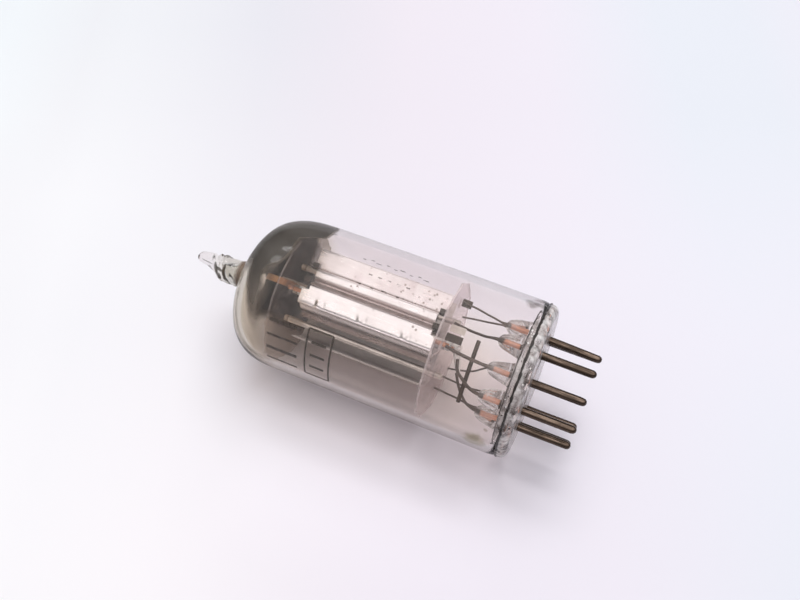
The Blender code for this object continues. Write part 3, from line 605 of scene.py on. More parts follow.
def film_look(name="getter_film_look", neck=False):
    """Evaporated getter metal: a dark mirror with a brown, fading edge."""
    k = Mat(name)
    h, u, z = k.axes()
    rough_edge = k.math("MULTIPLY", k.math("SUBTRACT", k.noise(260.0, 3.0, 0.55), 0.5), 1.8)
    if neck:
        a = k.math("MULTIPLY", k.remap(z, 41.3, 41.7), k.remap(k.math("ADD", z, k.math("MULTIPLY", rough_edge, 0.3)), 42.7, 42.1, 0, 0.75))
    else:
        # where the film stops on the low side: farther round near the spacer, short of the pole at the top
        rise = k.math("POWER", k.remap(z, 34.0, 37.6), 2.0)
        rise = k.math("MULTIPLY", rise, k.remap(h, -1.5, 2.0))
        edge_u = k.math("ADD", k.math("MULTIPLY", rise, 6.4), k.remap(h, -3.0, 3.0, -3.7, -4.3))
        du = k.math("SUBTRACT", k.math("ADD", u, rough_edge), edge_u)
        side = k.remap(du, -1.9, 1.1, 0, 1, smooth=True)
        # and where it stops above the spacer: lowest on the two flanks, higher in front and behind
        edge_near = k.math("ADD", k.remap(u, 2.0, 4.6, 1.5, 0.75, smooth=True), k.remap(u, 6.5, 7.8, 32.4, 29.45, smooth=True))
        edge_far = k.remap(u, 6.6, 7.9, 32.4, 34.9)
        edge_z = k.n("ShaderNodeMix", data_type="FLOAT")
        k.put(edge_z.inputs[0], k.remap(k.math("ADD", h, k.math("MULTIPLY", rough_edge, 1.2)), 3.4, -4.6, smooth=True))
        k.put(edge_z.inputs[2], edge_near)
        k.put(edge_z.inputs[3], edge_far)
        edge_z = edge_z.outputs[0]
        dz = k.math("SUBTRACT", k.math("ADD", z, k.math("MULTIPLY", rough_edge, 0.2)), edge_z)
        up = k.remap(dz, -0.25, k.math("ADD", 0.4, k.math("MULTIPLY", k.remap(h, 2.0, 6.0), k.remap(u, 3.5, 1.5, 0.2, 1.8))), 0, 1, smooth=True)
        a = k.math("MULTIPLY", side, up)
        # thinner in front of the ring, where the flash was shaded by it
        gx = k.math("POWER", k.math("ABSOLUTE", k.math("MULTIPLY", k.math("SUBTRACT", u, 1.0), 0.72)), 2.0)
        gy = k.math("POWER", k.math("ABSOLUTE", k.math("MULTIPLY", k.math("SUBTRACT", z, 34.3), 0.85)), 2.0)
        gap = k.math("MULTIPLY", k.remap(k.math("ADD", gx, gy), 1.5, 0.4, 0, 0.72, smooth=True), k.remap(h, 2.0, 5.0))
        a = k.math("MULTIPLY", a, k.math("SUBTRACT", 1.0, gap))
    lw = k.n("ShaderNodeLayerWeight")
    lw.inputs["Blend"].default_value = 0.5
    deep = k.mix(k.noise(180.0, 3.0), (0.020, 0.016, 0.012), (0.040, 0.033, 0.026))
    # painted sheen: the film is lighter where it is seen at a grazing angle
    deep = k.mix(k.remap(lw.outputs["Facing"], 0.25, 0.75), deep, (0.112, 0.094, 0.080))
    # the flash left the film uneven
    uneven = k.n("ShaderNodeVectorMath", operation="SCALE")
    k.put(uneven.inputs[0], deep)
    k.put(uneven.inputs["Scale"], k.remap(k.noise(95.0, 4.0, 0.6), 0.36, 0.64, 0.72, 1.30))
    deep = uneven.outputs[0]
    # the far wall gets less light; the low side of the near wall is thinner and paler
    deep = k.mix(k.math("MULTIPLY", k.remap(h, -1.0, -4.0), k.remap(u, 8.0, 6.0)), deep, (0.011, 0.008, 0.006))
    deep = k.mix(k.math("MULTIPLY", k.remap(h, 1.0, 4.0), k.remap(u, 1.5, -1.8, 0.0, 0.9)), deep, (0.125, 0.105, 0.090))
    col = k.mix(a, (0.15, 0.115, 0.09), deep) if not neck else k.mix(a, (0.26, 0.17, 0.11), (0.13, 0.08, 0.05))
    body = k.principled(Base_Color=col, Roughness=0.35, Metallic=0.1, Normal=k.bump(k.noise(300.0, 2.0), 0.05, 0.0002))
    t = k.n("ShaderNodeBsdfTransparent")
    lp = k.n("ShaderNodeLightPath")
    lit = k.math("MAXIMUM", lp.outputs["Is Shadow Ray"], lp.outputs["Is Diffuse Ray"])
    beyond = k.math("GREATER_THAN", lp.outputs["Transparent Depth"], 1.5)
    shadow = k.math("MULTIPLY", lit, k.remap(beyond, 0, 1, 0.8, 0.15))
    fac = k.math("MULTIPLY", k.math("POWER", a, 0.8), k.math("SUBTRACT", 1.0, shadow))
    # polished sheet near the film mirrors the room more than the film
    mirrored = k.math("GREATER_THAN", lp.outputs["Glossy Depth"], 0.5)
    fac = k.math("MULTIPLY", fac, k.math("SUBTRACT", 1.0, k.math("MULTIPLY", mirrored, 0.6)))
    return k.done(k.mixed(fac, t.outputs[0], body))


M_FILM = film_look()
M_NECK = film_look("neck_film_look", True)


def ink_look(name, least, most):
    k = Mat(name)
    wear = k.remap(k.noise(1500.0, 4.0, 0.7), 0.36, 0.56, least, most)
    body = k.principled(Base_Color=k.mix(k.noise(800.0, 3.0), (0.075, 0.06, 0.05), (0.12, 0.10, 0.085)), Roughness=0.5)
    t = k.n("ShaderNodeBsdfTransparent")
    return k.done(k.mixed(wear, t.outputs[0], body))


M_INK = ink_look("printed_ink_look", 0.45, 0.92)
M_INK_WORN = ink_look("worn_ink_look", 0.0, 0.46)


def seal_look():
    k = Mat("seal_line_look")
    v = k.noise(1400.0, 4.0, 0.7)
    col = k.ramp(v, [(0.40, (0.010, 0.008, 0.007)), (0.62, (0.035, 0.028, 0.024)), (0.70, (0.80, 0.78, 0.74))])
    body = k.principled(Base_Color=col, Roughness=0.3, Normal=k.bump(v, 0.6, 0.0001))
    t = k.n("ShaderNodeBsdfTransparent")
    fac = k.remap(k.noise(500.0, 3.0), 0.26, 0.42, 0.45, 1.0)
    return k.done(k.mixed(fac, t.outputs[0], body))


M_SEAL = seal_look()


def crease_look():
    """Painted shade: a dark streak inside folded glass, standing in for how the fold bends light, fading to nothing at
    its edges.
    """
    k = Mat("glass_crease_look")
    lw = k.n("ShaderNodeLayerWeight")
    lw.inputs["Blend"].default_value = 0.5
    soft = k.remap(lw.outputs["Facing"], 0.15, 0.85, 0.9, 0.0)
    fac = k.math("MULTIPLY", soft, k.remap(k.noise(700.0, 3.0), 0.3, 0.55, 0.45, 1.0))
    body = k.principled(Base_Color=k.mix(k.noise(900.0, 2.0), (0.035, 0.028, 0.02), (0.10, 0.08, 0.06)), Roughness=0.3)
    t = k.n("ShaderNodeBsdfTransparent")
    return k.done(k.mixed(fac, t.outputs[0], body))


M_CREASE = crease_look()

# ------------------------------------------------------------------ glass bulb with the sealed exhaust tube
R, WALL, Z0, H, POW = 10.28, 0.8, 31.2, 8.9, 3.17


def dome(r, h, first, last, count):
    out = []
    for i in range(count + 1):
        a = math.radians(first + (last - first) * i / count)
        out.append((r * max(math.cos(a), 0.0) ** (2 / POW), Z0 + h * math.sin(a) ** (2 / POW)))
    return out


outer = [(9.36, 1.34), (9.75, 1.33), (10.02, 1.42), (10.17, 1.75), (10.24, 2.3), (10.25, 3.4), (R - 0.02, 6.0), (R, 10.0), (R, 16.0), (R, 22.0), (R, 28.0)]
outer += dome(R, H, 0, 76, 44)
root = smooth_curve([(outer[-1][0], outer[-1][1]), (2.45, 40.5), (1.98, 41.3), (1.86, 42.3), (1.82, 43.6), (1.72, 44.8), (1.5, 45.7),
                     (1.18, 46.4), (1.02, 47.3), (0.93, 48.2), (0.72, 48.85), (0.38, 49.12), (0.02, 49.19)], 0.5, 0.09)
outer += [tuple(p) for p in root[1:-1]] + [(0.0, 49.19)]
inner_tip = smooth_curve([(0.0, 45.75), (0.22, 45.4), (0.62, 44.2), (0.95, 42.9), (1.05, 41.6), (1.3, 40.6), (2.3, 39.85), (2.9, 39.62)], 0.4, 0.16)
inner = [(0.0, 45.75)] + [tuple(p) for p in inner_tip[1:]]
inner += [p for p in dome(R - WALL, H - WALL, 70, 0, 36) if p[0] > 3.0]
inner += [(R - WALL, 28.0), (R - WALL, 20.0), (R - WALL, 12.0), (R - WALL, 6.0), (9.42, 3.6), (9.34, 2.2)]


def dome_lean(z):
    return -0.2 * (sstep(z, 31.5, 37.5) - sstep(z, 39.4, 41.0))


def tip_shape(v):
    """The exhaust tube was pulled off hot: it leans a little, and its end is twisted and flattened."""
    z = v[:, 2]
    k = sstep(z, 41.2, 49.0)
    ang = np.arctan2(v[:, 1], v[:, 0])
    rad = np.hypot(v[:, 0], v[:, 1])
    twist = sstep(z, 42.5, 46.5)
    lobes = 1 + 0.12 * twist * np.cos(2 * ang + 1.1 * (z - 42.5)) + 0.06 * twist * np.cos(3 * ang - 1.6 * (z - 42.0))
    # folds left by twisting the soft glass while it was pulled
    for a0, zc, w, depth in ((0.3, 44.9, 0.30, 0.26), (0.9, 46.0, 0.34, 0.30), (-0.5, 43.6, 0.4, 0.10)):
        path = zc + 0.75 * np.sin(ang - a0)
        lobes = lobes - depth * np.exp(-(((z - path) / w) ** 2)) * (0.45 + 0.55 * np.cos(ang - a0 - 0.4))
    rad2 = np.where(z > 41.2, rad * lobes, rad)
    h = rad2 * np.cos(ang)
    u = rad2 * np.sin(ang)
    lean = -0.2 * sstep(z, 41.2, 43.0) + 0.5 * sstep(z, 44.6, 46.4)
    h = h - 0.12 * k
    u = u + lean
    # very slight waviness of the blown wall
    wav = 0.012 * np.sin(3 * ang + z * 0.21) * sstep(z, 2.0, 8.0) * (1 - sstep(z, 40, 42))
    h, u = h * (1 + wav / 10), u * (1 + wav / 10)
    return np.stack([h, u + dome_lean(z), z], 1)


v, f = lathe_data(outer + inner, 144, tip_shape)
obj_from("glass_bulb", PA(v), f, M_BULB, angle=60, replaces=("glass_envelope",))

# painted shade: dark streaks where the twisted glass folded over on itself, standing in for how the folds bend the
# light
crease = []
for pts, r0 in (([(1.40, 0.25, 45.9), (1.35, -0.21, 45.72), (1.2, -0.75, 45.4), (1.0, -1.1, 45.12), (0.55, -1.55, 44.6)], 0.27),
                ([(1.5, 0.35, 44.25), (1.6, 0.0, 44.2), (1.5, -0.6, 44.25), (1.15, -1.15, 44.0), (0.8, -1.4, 43.8), (0.3, -1.6, 43.2)], 0.27),
                ([(1.45, -0.35, 45.35), (1.45, -0.5, 44.95), (1.35, -0.7, 44.5)], 0.24),
                ([(1.35, -0.3, 48.2), (1.3, -0.42, 47.2), (1.3, -0.48, 46.4)], 0.05)):
    way = smooth_curve(pts, 0.4, 0.08)
    fit = np.clip(np.interp(way[:, 2], [42.0, 44.5, 45.7, 46.4, 47.3, 48.2, 48.8], [1.72, 1.55, 1.3, 0.98, 0.85, 0.76, 0.55]), 0.2, None)
    lean = -0.2 + 0.5 * sstep(way[:, 2], 44.6, 46.4)
    scale = np.minimum(1.0, fit / np.hypot(way[:, 0], way[:, 1] - lean))
    way[:, 0] *= scale
    way[:, 1] = (way[:, 1] - lean) * scale + lean
    t = np.linspace(0, 1, len(way))
    crease.append((way, r0 * (0.35 + 0.65 * np.sin(math.pi * t) ** 0.7)))
verts, faces = [], []
for way, rr in crease:
    v, f = tube_data(way, rr, 10, len(verts))
    verts.extend(v.tolist())
    faces.extend(f)
obj_from("tip_creases", PA(verts), faces, M_CREASE, angle=60)

# ------------------------------------------------------------------ pressed glass stem with nine beads
def stem_mesh():
    radii = np.concatenate([np.linspace(0, 4.2, 12), np.arange(4.3, 7.75, 0.085), np.linspace(7.85, 8.9, 9)])
    steps = 432
    th = np.arange(steps) * 2 * math.pi / steps
    centres = np.array([pin_hu(i) for i in range(1, 10)])

    def top(hh, uu):
        d = np.min(np.hypot(hh[..., None] - centres[:, 0], uu[..., None] - centres[:, 1]), axis=-1)
        return 2.35 + np.interp(d, [0, 0.42, 0.72, 0.98, 1.16, 1.3, 1.45, 1.7, 2.2], [3.15, 3.1, 2.85, 2.25, 1.5, 0.85, 0.4, 0.12, 0.0])

    def low(hh, uu):
        r = np.hypot(hh, uu)
        d = np.min(np.hypot(hh[..., None] - centres[:, 0], uu[..., None] - centres[:, 1]), axis=-1)
        step = 0.1 * sstep(r, 4.4, 4.7)
        return step * sstep(d, 0.55, 0.95)

    verts, faces = [], []
    top_rows, low_rows = [], []
    for rows, fn in ((top_rows, top), (low_rows, low)):
        for r in radii:
            if r < 1e-9:
                rows.append([len(verts)])
                verts.append((0, 0, float(fn(np.array([0.0]), np.array([0.0]))[0])))
                continue
            hh, uu = r * np.cos(th), r * np.sin(th)
            zz = fn(hh, uu)
            rows.append(list(range(len(verts), len(verts) + steps)))
            verts.extend(zip(hh, uu, zz))
    rim = [(9.12, 2.05), (9.3, 1.62), (9.38, 1.27), (9.9, 1.25), (10.12, 1.22), (10.15, 0.98), (10.05, 0.66), (9.85, 0.4), (9.55, 0.2), (9.25, 0.115)]
    rim_rows = []
    for r, z in rim:
        rim_rows.append(list(range(len(verts), len(verts) + steps)))
        wob = 0.02 * np.sin(5 * th + r) + 0.015 * np.sin(11 * th)
        verts.extend(zip((r + wob * 0.5) * np.cos(th), (r + wob * 0.5) * np.sin(th), z + wob * 0.0))
    chain = top_rows + rim_rows + low_rows[::-1]
    for a, b in zip(chain, chain[1:]):
        for i in range(steps):
            j = (i + 1) % steps
            if len(a) == 1:
                faces.append((a[0], b[i], b[j]))
            elif len(b) == 1:
                faces.append((a[j], a[i], b[0]))
            else:
                faces.append((a[i], b[i], b[j], a[j]))
    return np.array(verts), faces


v, f = stem_mesh()
obj_from("stem_button", PA(v), f, M_STEM, angle=60, replaces=("button_stem",))

# the fused joint between bulb and stem: an uneven line with trapped bubbles
for name, r0, z0, rr, amp in (("seal_line_outer", 10.0, 1.32, 0.19, 0.09), ("seal_line_inner", 9.2, 2.2, 0.055, 0.03)):
    n = 360
    path = []
    radii = []
    for i in range(n):
        a = 2 * math.pi * i / n
        q = Vector((math.cos(a) * 4.0, math.sin(a) * 4.0, 3.0))
        path.append(((r0 + amp * noise.noise(q * 2.2)) * math.cos(a), (r0 + amp * noise.noise(q * 2.2)) * math.sin(a), z0 + amp * noise.noise(q * 3.1 + Vector((9, 0, 0)))))
        radii.append(rr * (1 + 0.45 * noise.noise(q * 4.0 + Vector((0, 5, 0)))))
    path = np.array(path)
    tang = np.roll(path, -1, 0) - np.roll(path, 1, 0)
    tang /= np.linalg.norm(tang, axis=1)[:, None]
    sides = 8
    verts, faces = [], []
    for k in range(n):
        out = path[k].copy()
        out[2] = 0
        out /= np.linalg.norm(out)
        for i in range(sides):
            a = 2 * math.pi * i / sides
            verts.append(path[k] + radii[k] * (math.cos(a) * out + math.sin(a) * np.array([0, 0, 1.0])))
    for k in range(n):
        m = (k + 1) % n
        for i in range(sides):
            j = (i + 1) % sides
            faces.append((k * sides + i, m * sides + i, m * sides + j, k * sides + j))
    obj_from(name, PA(verts), faces, M_SEAL, angle=60)

# painted highlights: white beads stand in for light caught by bubbles in the joint; dark specks are caught in it too
rng = np.random.default_rng(7)
for name, count, tone, lo_r, hi_r in (("seal_bubble_highlights", 150, (0.97, 0.96, 0.95), 0.05, 0.12), ("seal_specks", 110, (0.05, 0.04, 0.035), 0.04, 0.10)):
    k = Mat(name + "_look")
    grain = k.noise(2600.0, 3.0)
    shade = k.mix(grain, tone, tuple(c * 0.7 for c in tone))
    mat = k.done(k.principled(Base_Color=shade, Roughness=0.18, Normal=k.bump(grain, 0.2, 0.00003)))
    bm = bmesh.new()
    for _ in range(count):
        a = rng.uniform(0, 2 * math.pi)
        zz = 1.3 + rng.normal(0, 0.42)
        zz = min(max(zz, 0.55), 2.7)
        rr = rng.uniform(9.45, 9.95) if zz > 1.4 else rng.uniform(9.0, 9.8)
        rad = rng.uniform(lo_r, hi_r)
        m = Matrix.Translation(P(rr * math.cos(a), rr * math.sin(a), zz)) @ Matrix.Rotation(a + AZ, 4, "Z") @ Matrix.Diagonal((0.6, rng.uniform(0.9, 2.2), 1.0, 1))
        bmesh.ops.create_icosphere(bm, subdivisions=2, radius=rad * MM, matrix=m)
    mesh = bpy.data.meshes.new(name)
    bm.to_mesh(mesh)
    bm.free()
    place(name, mesh, mat, angle=180)

# ------------------------------------------------------------------ pins
for i in range(1, 10):
    prof = [(0, 0.8), (0.44, 0.8), (0.5, 0.74), (0.505, 0.5), (0.508, 0.0), (0.508, -0.3)]
    prof += [(0.508 - 0.004 * (k % 2), -0.6 - 0.36 * k) for k in range(15)]
    prof += [(0.495, -6.2), (0.47, -6.36), (0.41, -6.52), (0.31, -6.64), (0.17, -6.72), (0, -6.745)]
    h0, u0 = pin_hu(i)
    tilt = {8: (0.0, -0.16), 4: (0.02, 0.05), 5: (-0.03, 0.02), 7: (0.03, -0.02), 2: (0.04, 0.03)}.get(i, (0.0, 0.0))

    def bent(v, h0=h0, u0=u0, tilt=tilt, i=i):
        k = sstep(-v[:, 2], 0.2, 6.7)
        a = np.arctan2(v[:, 1], v[:, 0])
        r = np.hypot(v[:, 0], v[:, 1]) * (1 + 0.012 * np.sin(2 * a + i) * sstep(-v[:, 2], 0, 3))
        return np.stack([h0 + r * np.cos(a) + tilt[0] * k, u0 + r * np.sin(a) + tilt[1] * k, v[:, 2]], 1)

    v, f = lathe_data(prof, 28, bent)
    obj_from(f"contact_pin_{i}", PA(v), f, M_PIN, angle=50, replaces=(f"pin_{i}",))

# ------------------------------------------------------------------ lead-in wires
ENDS = {
    1: [(-5.94, 0.0, 6.4), (-5.6, -1.6, 8.6), (-5.3, -2.2, 11.7)],
    2: [(-4.81, -3.49, 6.4), (-3.6, -3.7, 8.4), (-3.2, -3.4, 11.7)],
    3: [(-1.84, -5.65, 6.3), (-0.9, -5.3, 8.2), (-0.2, -5.05, 11.7)],
    4: [(1.84, -5.65, 5.8), (2.2, -5.3, 6.9), (2.5, -3.9, 8.3), (2.2, -2.2, 9.3)],
    5: [(4.81, -3.49, 6.1), (4.5, -3.2, 7.1), (3.3, -2.0, 9.2), (2.5, -0.6, 9.7)],
    6: [(5.944, 0.0, 6.0), (5.3, 0.05, 8.3), (4.6, 0.25, 10.2), (4.1, 0.5, 11.4)],
    7: [(4.81, 3.49, 6.0), (4.2, 3.25, 7.0), (2.6, 3.3, 9.2), (2.25, 3.6, 11.7)],
    8: [(1.84, 5.65, 5.9), (1.75, 5.9, 7.6), (1.5, 6.3, 9.8), (1.5, 6.5, 11.7)],
    9: [(-1.84, 5.65, 6.4), (-1.9, 5.3, 8.8), (-2.0, 4.9, 11.7)],
}
for i in range(1, 10):
    h0, u0 = pin_hu(i)
    pts = [(h0, u0, 0.85), (h0, u0, ENDS[i][0][2])] + ENDS[i][1:]
    wire(f"inner_lead_{i}", pts, 0.225, M_LEAD, 16, 0.9, (f"lead_wire_{i}",), wobble=0.05, seed=i,
         thin={6: 0.22, 5: 0.205, 4: 0.18, 7: 0.17}.get(i, 0.13))

# ------------------------------------------------------------------ electrode mount: visible sheet metal
def plate_lims(h, u):
    if u > 4.92:
        return 13.25, 31.95
    if u > 1.95:
        return 14.2, 31.32
    if u > 1.08:
        return 13.7, 30.65
    return 13.1, 31.58


def plate_push(u, z, h):
    """Crimp marks on the flat face nearest the front, and a shallow hollow along the fin."""
    off = np.zeros_like(u)
    face = sstep(h, 3.9, 4.15)
    for zc in (28.72, 22.86, 16.76):
        ring = np.exp(-(((z - zc) / 0.34) ** 2)) - 0.7 * np.exp(-(((z - zc - 0.62) / 0.26) ** 2)) - 0.7 * np.exp(-(((z - zc + 0.62) / 0.26) ** 2))
        off += 0.13 * ring * np.exp(-(((u + 0.25) / 0.5) ** 2)) * face
    fin = sstep(u, 4.7, 5.3)
    off += 0.05 * fin * np.sin(z * 0.9) * np.sin(z * 0.37 + u)
    return off


front = [(1.12, 6.82), (1.3, 6.75), (1.3, 4.3), (1.16, 4.19), (1.38, 4.10), (1.78, 3.95), (1.98, 3.75), (2.0, 3.05), (1.84, 2.84), (1.36, 2.66), (1.4, 2.25),
         (3.1, 1.9), (4.05, 1.75), (4.3, 1.5), (4.3, -0.52), (4.14, -0.74), (3.2, -0.86), (2.4, -1.35), (1.45, -1.5), (1.32, -1.75), (1.32, -2.45)]
sheet("triode_plate_a", front, plate_lims, 0.2, M_NICKEL, 150, 0.14, 0.09, plate_push, ("triode_plate_front",))
back = [(1.0, 6.95), (1.0, 4.75), (0.68, 4.32), (0.38, 3.98), (0.35, 3.5), (0.65, 3.12), (0.98, 2.75), (0.85, 2.35),
        (-1.0, 1.95), (-1.9, 1.6), (-1.95, -0.4), (-1.0, -0.75), (0.85, -1.05), (1.0, -1.6), (1.0, -2.45)]
sheet("triode_plate_b", back, plate_lims, 0.2, M_NICKEL, 90, 0.14, 0.12, None, ("triode_plate_back",))
shield = [(-2.75, 6.3), (-2.75, 0.6), (-2.75, -4.6), (-2.45, -5.05), (-1.2, -5.3), (1.3, -5.3)]
for tag, z0 in (("low", 13.25), ("high", 31.4)):
    sheet(f"ear_fin_{tag}", [(1.15, 4.0), (1.75, 4.15), (1.8, 4.8)], lambda h, u, z0=z0: (z0, z0 + 0.85), 0.2, M_DARK, 8, 0.1, 0.1)
    sheet(f"ear_fold_{tag}", [(2.3, 1.7), (3.1, 2.05), (3.1, 2.75)], lambda h, u, z0=z0: (z0, z0 + 0.85), 0.2, M_DARK, 8, 0.1, 0.1)
sheet("mount_shield", shield, lambda h, u: (13.1, 31.7), 0.2, M_SHIELD, 60, 0.25, 0.2, None, ("shield_plate",))
for kk in range(3):
    z0 = 12.95 + 0.6 + 6.2 * kk
    arc = []
    for i in range(25):
        a = math.radians(-150 + 300 * i / 24) + math.pi
        arc.append((-5.1 + 1.45 * math.cos(a), 0.9 + 1.45 * math.sin(a)))
    arc = [(arc[0][0], arc[0][1] + 0.75)] + arc + [(arc[-1][0], arc[-1][1] - 0.75)]
    sheet(f"diode_anode_{kk + 1}", arc, lambda h, u, z0=z0: (z0, z0 + 4.9), 0.2, M_GREY, 24, 0.1, 0.12, None, (f"diode_plate_{kk + 1}",))

for name, old, (h0, u0), (za, zb) in (("channel_rod", "support_rod_a", (1.15, 3.72), (11.15, 33.72)), ("side_rod", "support_rod_b", (0.9, -3.4), (11.15, 33.62))):
    wire(name, [(h0, u0, za), (h0, u0, 20.0), (h0, u0, zb)], 0.41, M_ROD, 20, 0.5, (old,), step=0.6)
for name, old, h0 in (("grid_post_front", "grid_rod_front", 3.15), ("grid_post_back", "grid_rod_back", -1.15)):
    wire(name, [(h0, 0.6, 11.3), (h0, 0.6, 20.0), (h0, 0.6, 33.8)], 0.29, M_COPPER, 16, 0.5, (old,), step=0.6)


def sleeve(name, old, h0, u0):
    prof = [(0.6, 11.35), (0.62, 11.42), (0.62, 33.7), (0.6, 33.78), (0.5, 33.78), (0.48, 33.7), (0.48, 11.42), (0.5, 11.35)]
    v, f = lathe_data(prof, 32, lambda v: np.stack([v[:, 0] + h0, v[:, 1] + u0, v[:, 2]], 1))
    obj_from(name, PA(v), f, M_OXIDE, angle=40, replaces=(old,))


sleeve("triode_cathode_sleeve", "triode_cathode", 1.0, 0.6)
sleeve("diode_cathode_sleeve", "diode_cathode", -5.1, 0.9)
for name, old, h0, u0, la, lb in (("triode_filament", "triode_heater", 1.0, 0.6, (1.75, -1.75, 9.55), (2.35, -0.1, 9.95)),
                                  ("diode_filament", "diode_heater", -5.1, 0.9, (1.7, -2.45, 8.95), (2.0, -0.75, 9.75))):
    wire(name, [la, (h0, u0 - 0.26, 10.85), (h0, u0 - 0.26, 32.6), (h0, u0, 33.1), (h0, u0 + 0.26, 32.6), (h0, u0 + 0.26, 10.85), lb], 0.13, M_HEATER,
         10, 0.3, (old,), step=0.2)

# the grid's winding, at a real wire's pitch
turns, per = 42, 20
path = []
for i in range(turns * per + 1):
    a = 2 * math.pi * i / per
    path.append((1.0 + 2.53 * math.cos(a), 0.6 + 0.88 * math.sin(a), 14.1 + 16.6 * i / (turns * per)))
v, f = tube_data(np.array(path), 0.05, 6)
obj_from("grid_helix", PA(v), f, M_GREY, angle=60, replaces=("grid_winding",))

# ------------------------------------------------------------------ mica spacers
def mica_disc(name, old, z, seed, look):
    """A punched disc: toothed rim, holes for the rods and sleeves, slots for the plates' ears."""
    holes = [(1.15, 3.72, 0.47), (0.9, -3.4, 0.47), (3.15, 0.6, 0.35), (-1.15, 0.6, 0.35), (1.0, 0.6, 0.68), (-5.1, 0.9, 0.68)]
    n = 240
    rim = []
    for i in range(n):
        a = 2 * math.pi * i / n
        tooth = max(0.0, math.cos(12 * a)) ** 8
        r = 9.02 + 0.38 * tooth + 0.03 * noise.noise(Vector((math.cos(a) * 3, math.sin(a) * 3, seed)))
        h, u = r * math.cos(a), r * math.sin(a)
        rim.append((max(-9.0, min(9.0, h)), u))
    bm = bmesh.new()
    low = [bm.verts.new(P(h, u, z)) for h, u in rim]
    bm.faces.new(low)
    ext = bmesh.ops.extrude_face_region(bm, geom=list(bm.faces))
    bmesh.ops.translate(bm, vec=(0, 0, 0.24 * MM), verts=[g for g in ext["geom"] if isinstance(g, bmesh.types.BMVert)])
    bmesh.ops.recalc_face_normals(bm, faces=bm.faces)
    mesh = bpy.data.meshes.new(name)
    bm.to_mesh(mesh)
    bm.free()
    disc = bpy.data.objects.new(name + "_blank", mesh)
    bpy.context.scene.collection.objects.link(disc)
    cut = bpy.data.meshes.new(name + "_cut")
    bm = bmesh.new()
    for h, u, r in holes:
        c = P(h, u, z + 0.1)
        bmesh.ops.create_cone(bm, cap_ends=True, segments=28, radius1=r * MM, radius2=r * MM, depth=2 * MM, matrix=Matrix.Translation(c))
    for h, u, a, b in ((1.15, 6.2, 0.5, 1.1), (3.9, 0.1, 0.5, 0.9), (-2.75, 3.4, 0.4, 1.6), (-2.75, -3.0, 0.4, 1.6), (6.6, -2.4, 0.9, 0.35)):
        m = Matrix.Translation(P(h, u, z + 0.1)) @ Matrix.Rotation(AZ, 4, "Z") @ Matrix.Diagonal((a * MM, b * MM, 2 * MM, 1))
        bmesh.ops.create_cube(bm, size=1.0, matrix=m)
    bm.to_mesh(cut)
    bm.free()
    cutter = bpy.data.objects.new(name + "_cutter", cut)
    bpy.context.scene.collection.objects.link(cutter)
    mod = disc.modifiers.new("holes", "BOOLEAN")
    mod.operation, mod.solver, mod.object = "DIFFERENCE", "EXACT", cutter
    bpy.context.view_layer.update()
    dg = bpy.context.evaluated_depsgraph_get()
    final = bpy.data.meshes.new_from_object(disc.evaluated_get(dg))
    final.name = name
    bpy.data.objects.remove(disc)
    bpy.data.objects.remove(cutter)
    final.materials.clear()
    place(name, final, look, smooth=False, replaces=(old,))


mica_disc("mica_spacer_low", "mica_bottom", 12.0, 1.0, M_MICA)
mica_disc("mica_spacer_high", "mica_top", 33.0, 5.0, M_MICA_FOGGED)

# ------------------------------------------------------------------ links under the lower spacer
wire("jumper_bar", [(3.35, 2.5, 7.9), (3.35, -1.0, 7.85), (3.35, -5.35, 7.72)], 0.27, M_DARK, 14, 0.5, ("connecting_bar",), step=0.3, wobble=0.03, seed=3)
sheet("grid_link", [(3.75, 1.15), (3.75, 2.15)], lambda h, u: (9.75, 11.9), 0.2, M_DARK, 10, 0.1, 0.1, None, ("grid_strap",))
sheet("cathode_link", [(2.8, 2.45), (2.8, 3.35)], lambda h, u: (9.9, 11.9), 0.2, M_ROD, 10, 0.1, 0.1, None, ("cathode_strap",))
sheet("plate_ear", [(1.05, 5.95), (1.05, 6.95)], lambda h, u: (10.6, 11.9), 0.22, M_DARK, 10, 0.1, 0.1, None, ("plate_tab",))

# ------------------------------------------------------------------ getter ring and its support
RING_R, RING_T, RING_W = 2.0, 0.34, 0.42
gh, gu, gz = 0.3, 0.95, 36.15
sec = [(-RING_T, -RING_W), (RING_T, -RING_W), (RING_T, RING_W), (RING_T - 0.13, RING_W), (RING_T - 0.15, -RING_W + 0.17),
       (-RING_T + 0.15, -RING_W + 0.17), (-RING_T + 0.13, RING_W), (-RING_T, RING_W)]
verts, faces = [], []
n = 72
for i in range(n):
    a = 2 * math.pi * i / n
    for p, q in sec:
        verts.append((gh + (RING_R + p) * math.cos(a), gu + q, gz + (RING_R + p) * math.sin(a)))
for i in range(n):
    m = (i + 1) % n
    for k in range(len(sec)):
        j = (k + 1) % len(sec)
        faces.append((i * len(sec) + k, i * len(sec) + j, m * len(sec) + j, m * len(sec) + k))
obj_from("getter_channel", PA(verts), faces, M_BRONZE, angle=35, replaces=("getter_ring",))
wire("getter_post", [(gh - RING_R, gu + 0.52, 33.3), (gh - RING_R, gu + 0.52, 35.0), (gh - RING_R, gu + 0.52, gz + 0.9)], 0.21, M_ROD, 14, 0.2, ("getter_support",), step=0.3)

# ------------------------------------------------------------------ getter film inside the dome
Ri, Hi = R - WALL + 0.09, H - WALL + 0.09


def film_profile(off):
    out = [(Ri - off, 29.9)]
    for i in range(41):
        a = math.radians(87.4 * i / 40)
        out.append(((Ri - off) * max(math.cos(a), 0.0) ** (2 / POW), Z0 + (Hi - off) * math.sin(a) ** (2 / POW)))
    return out


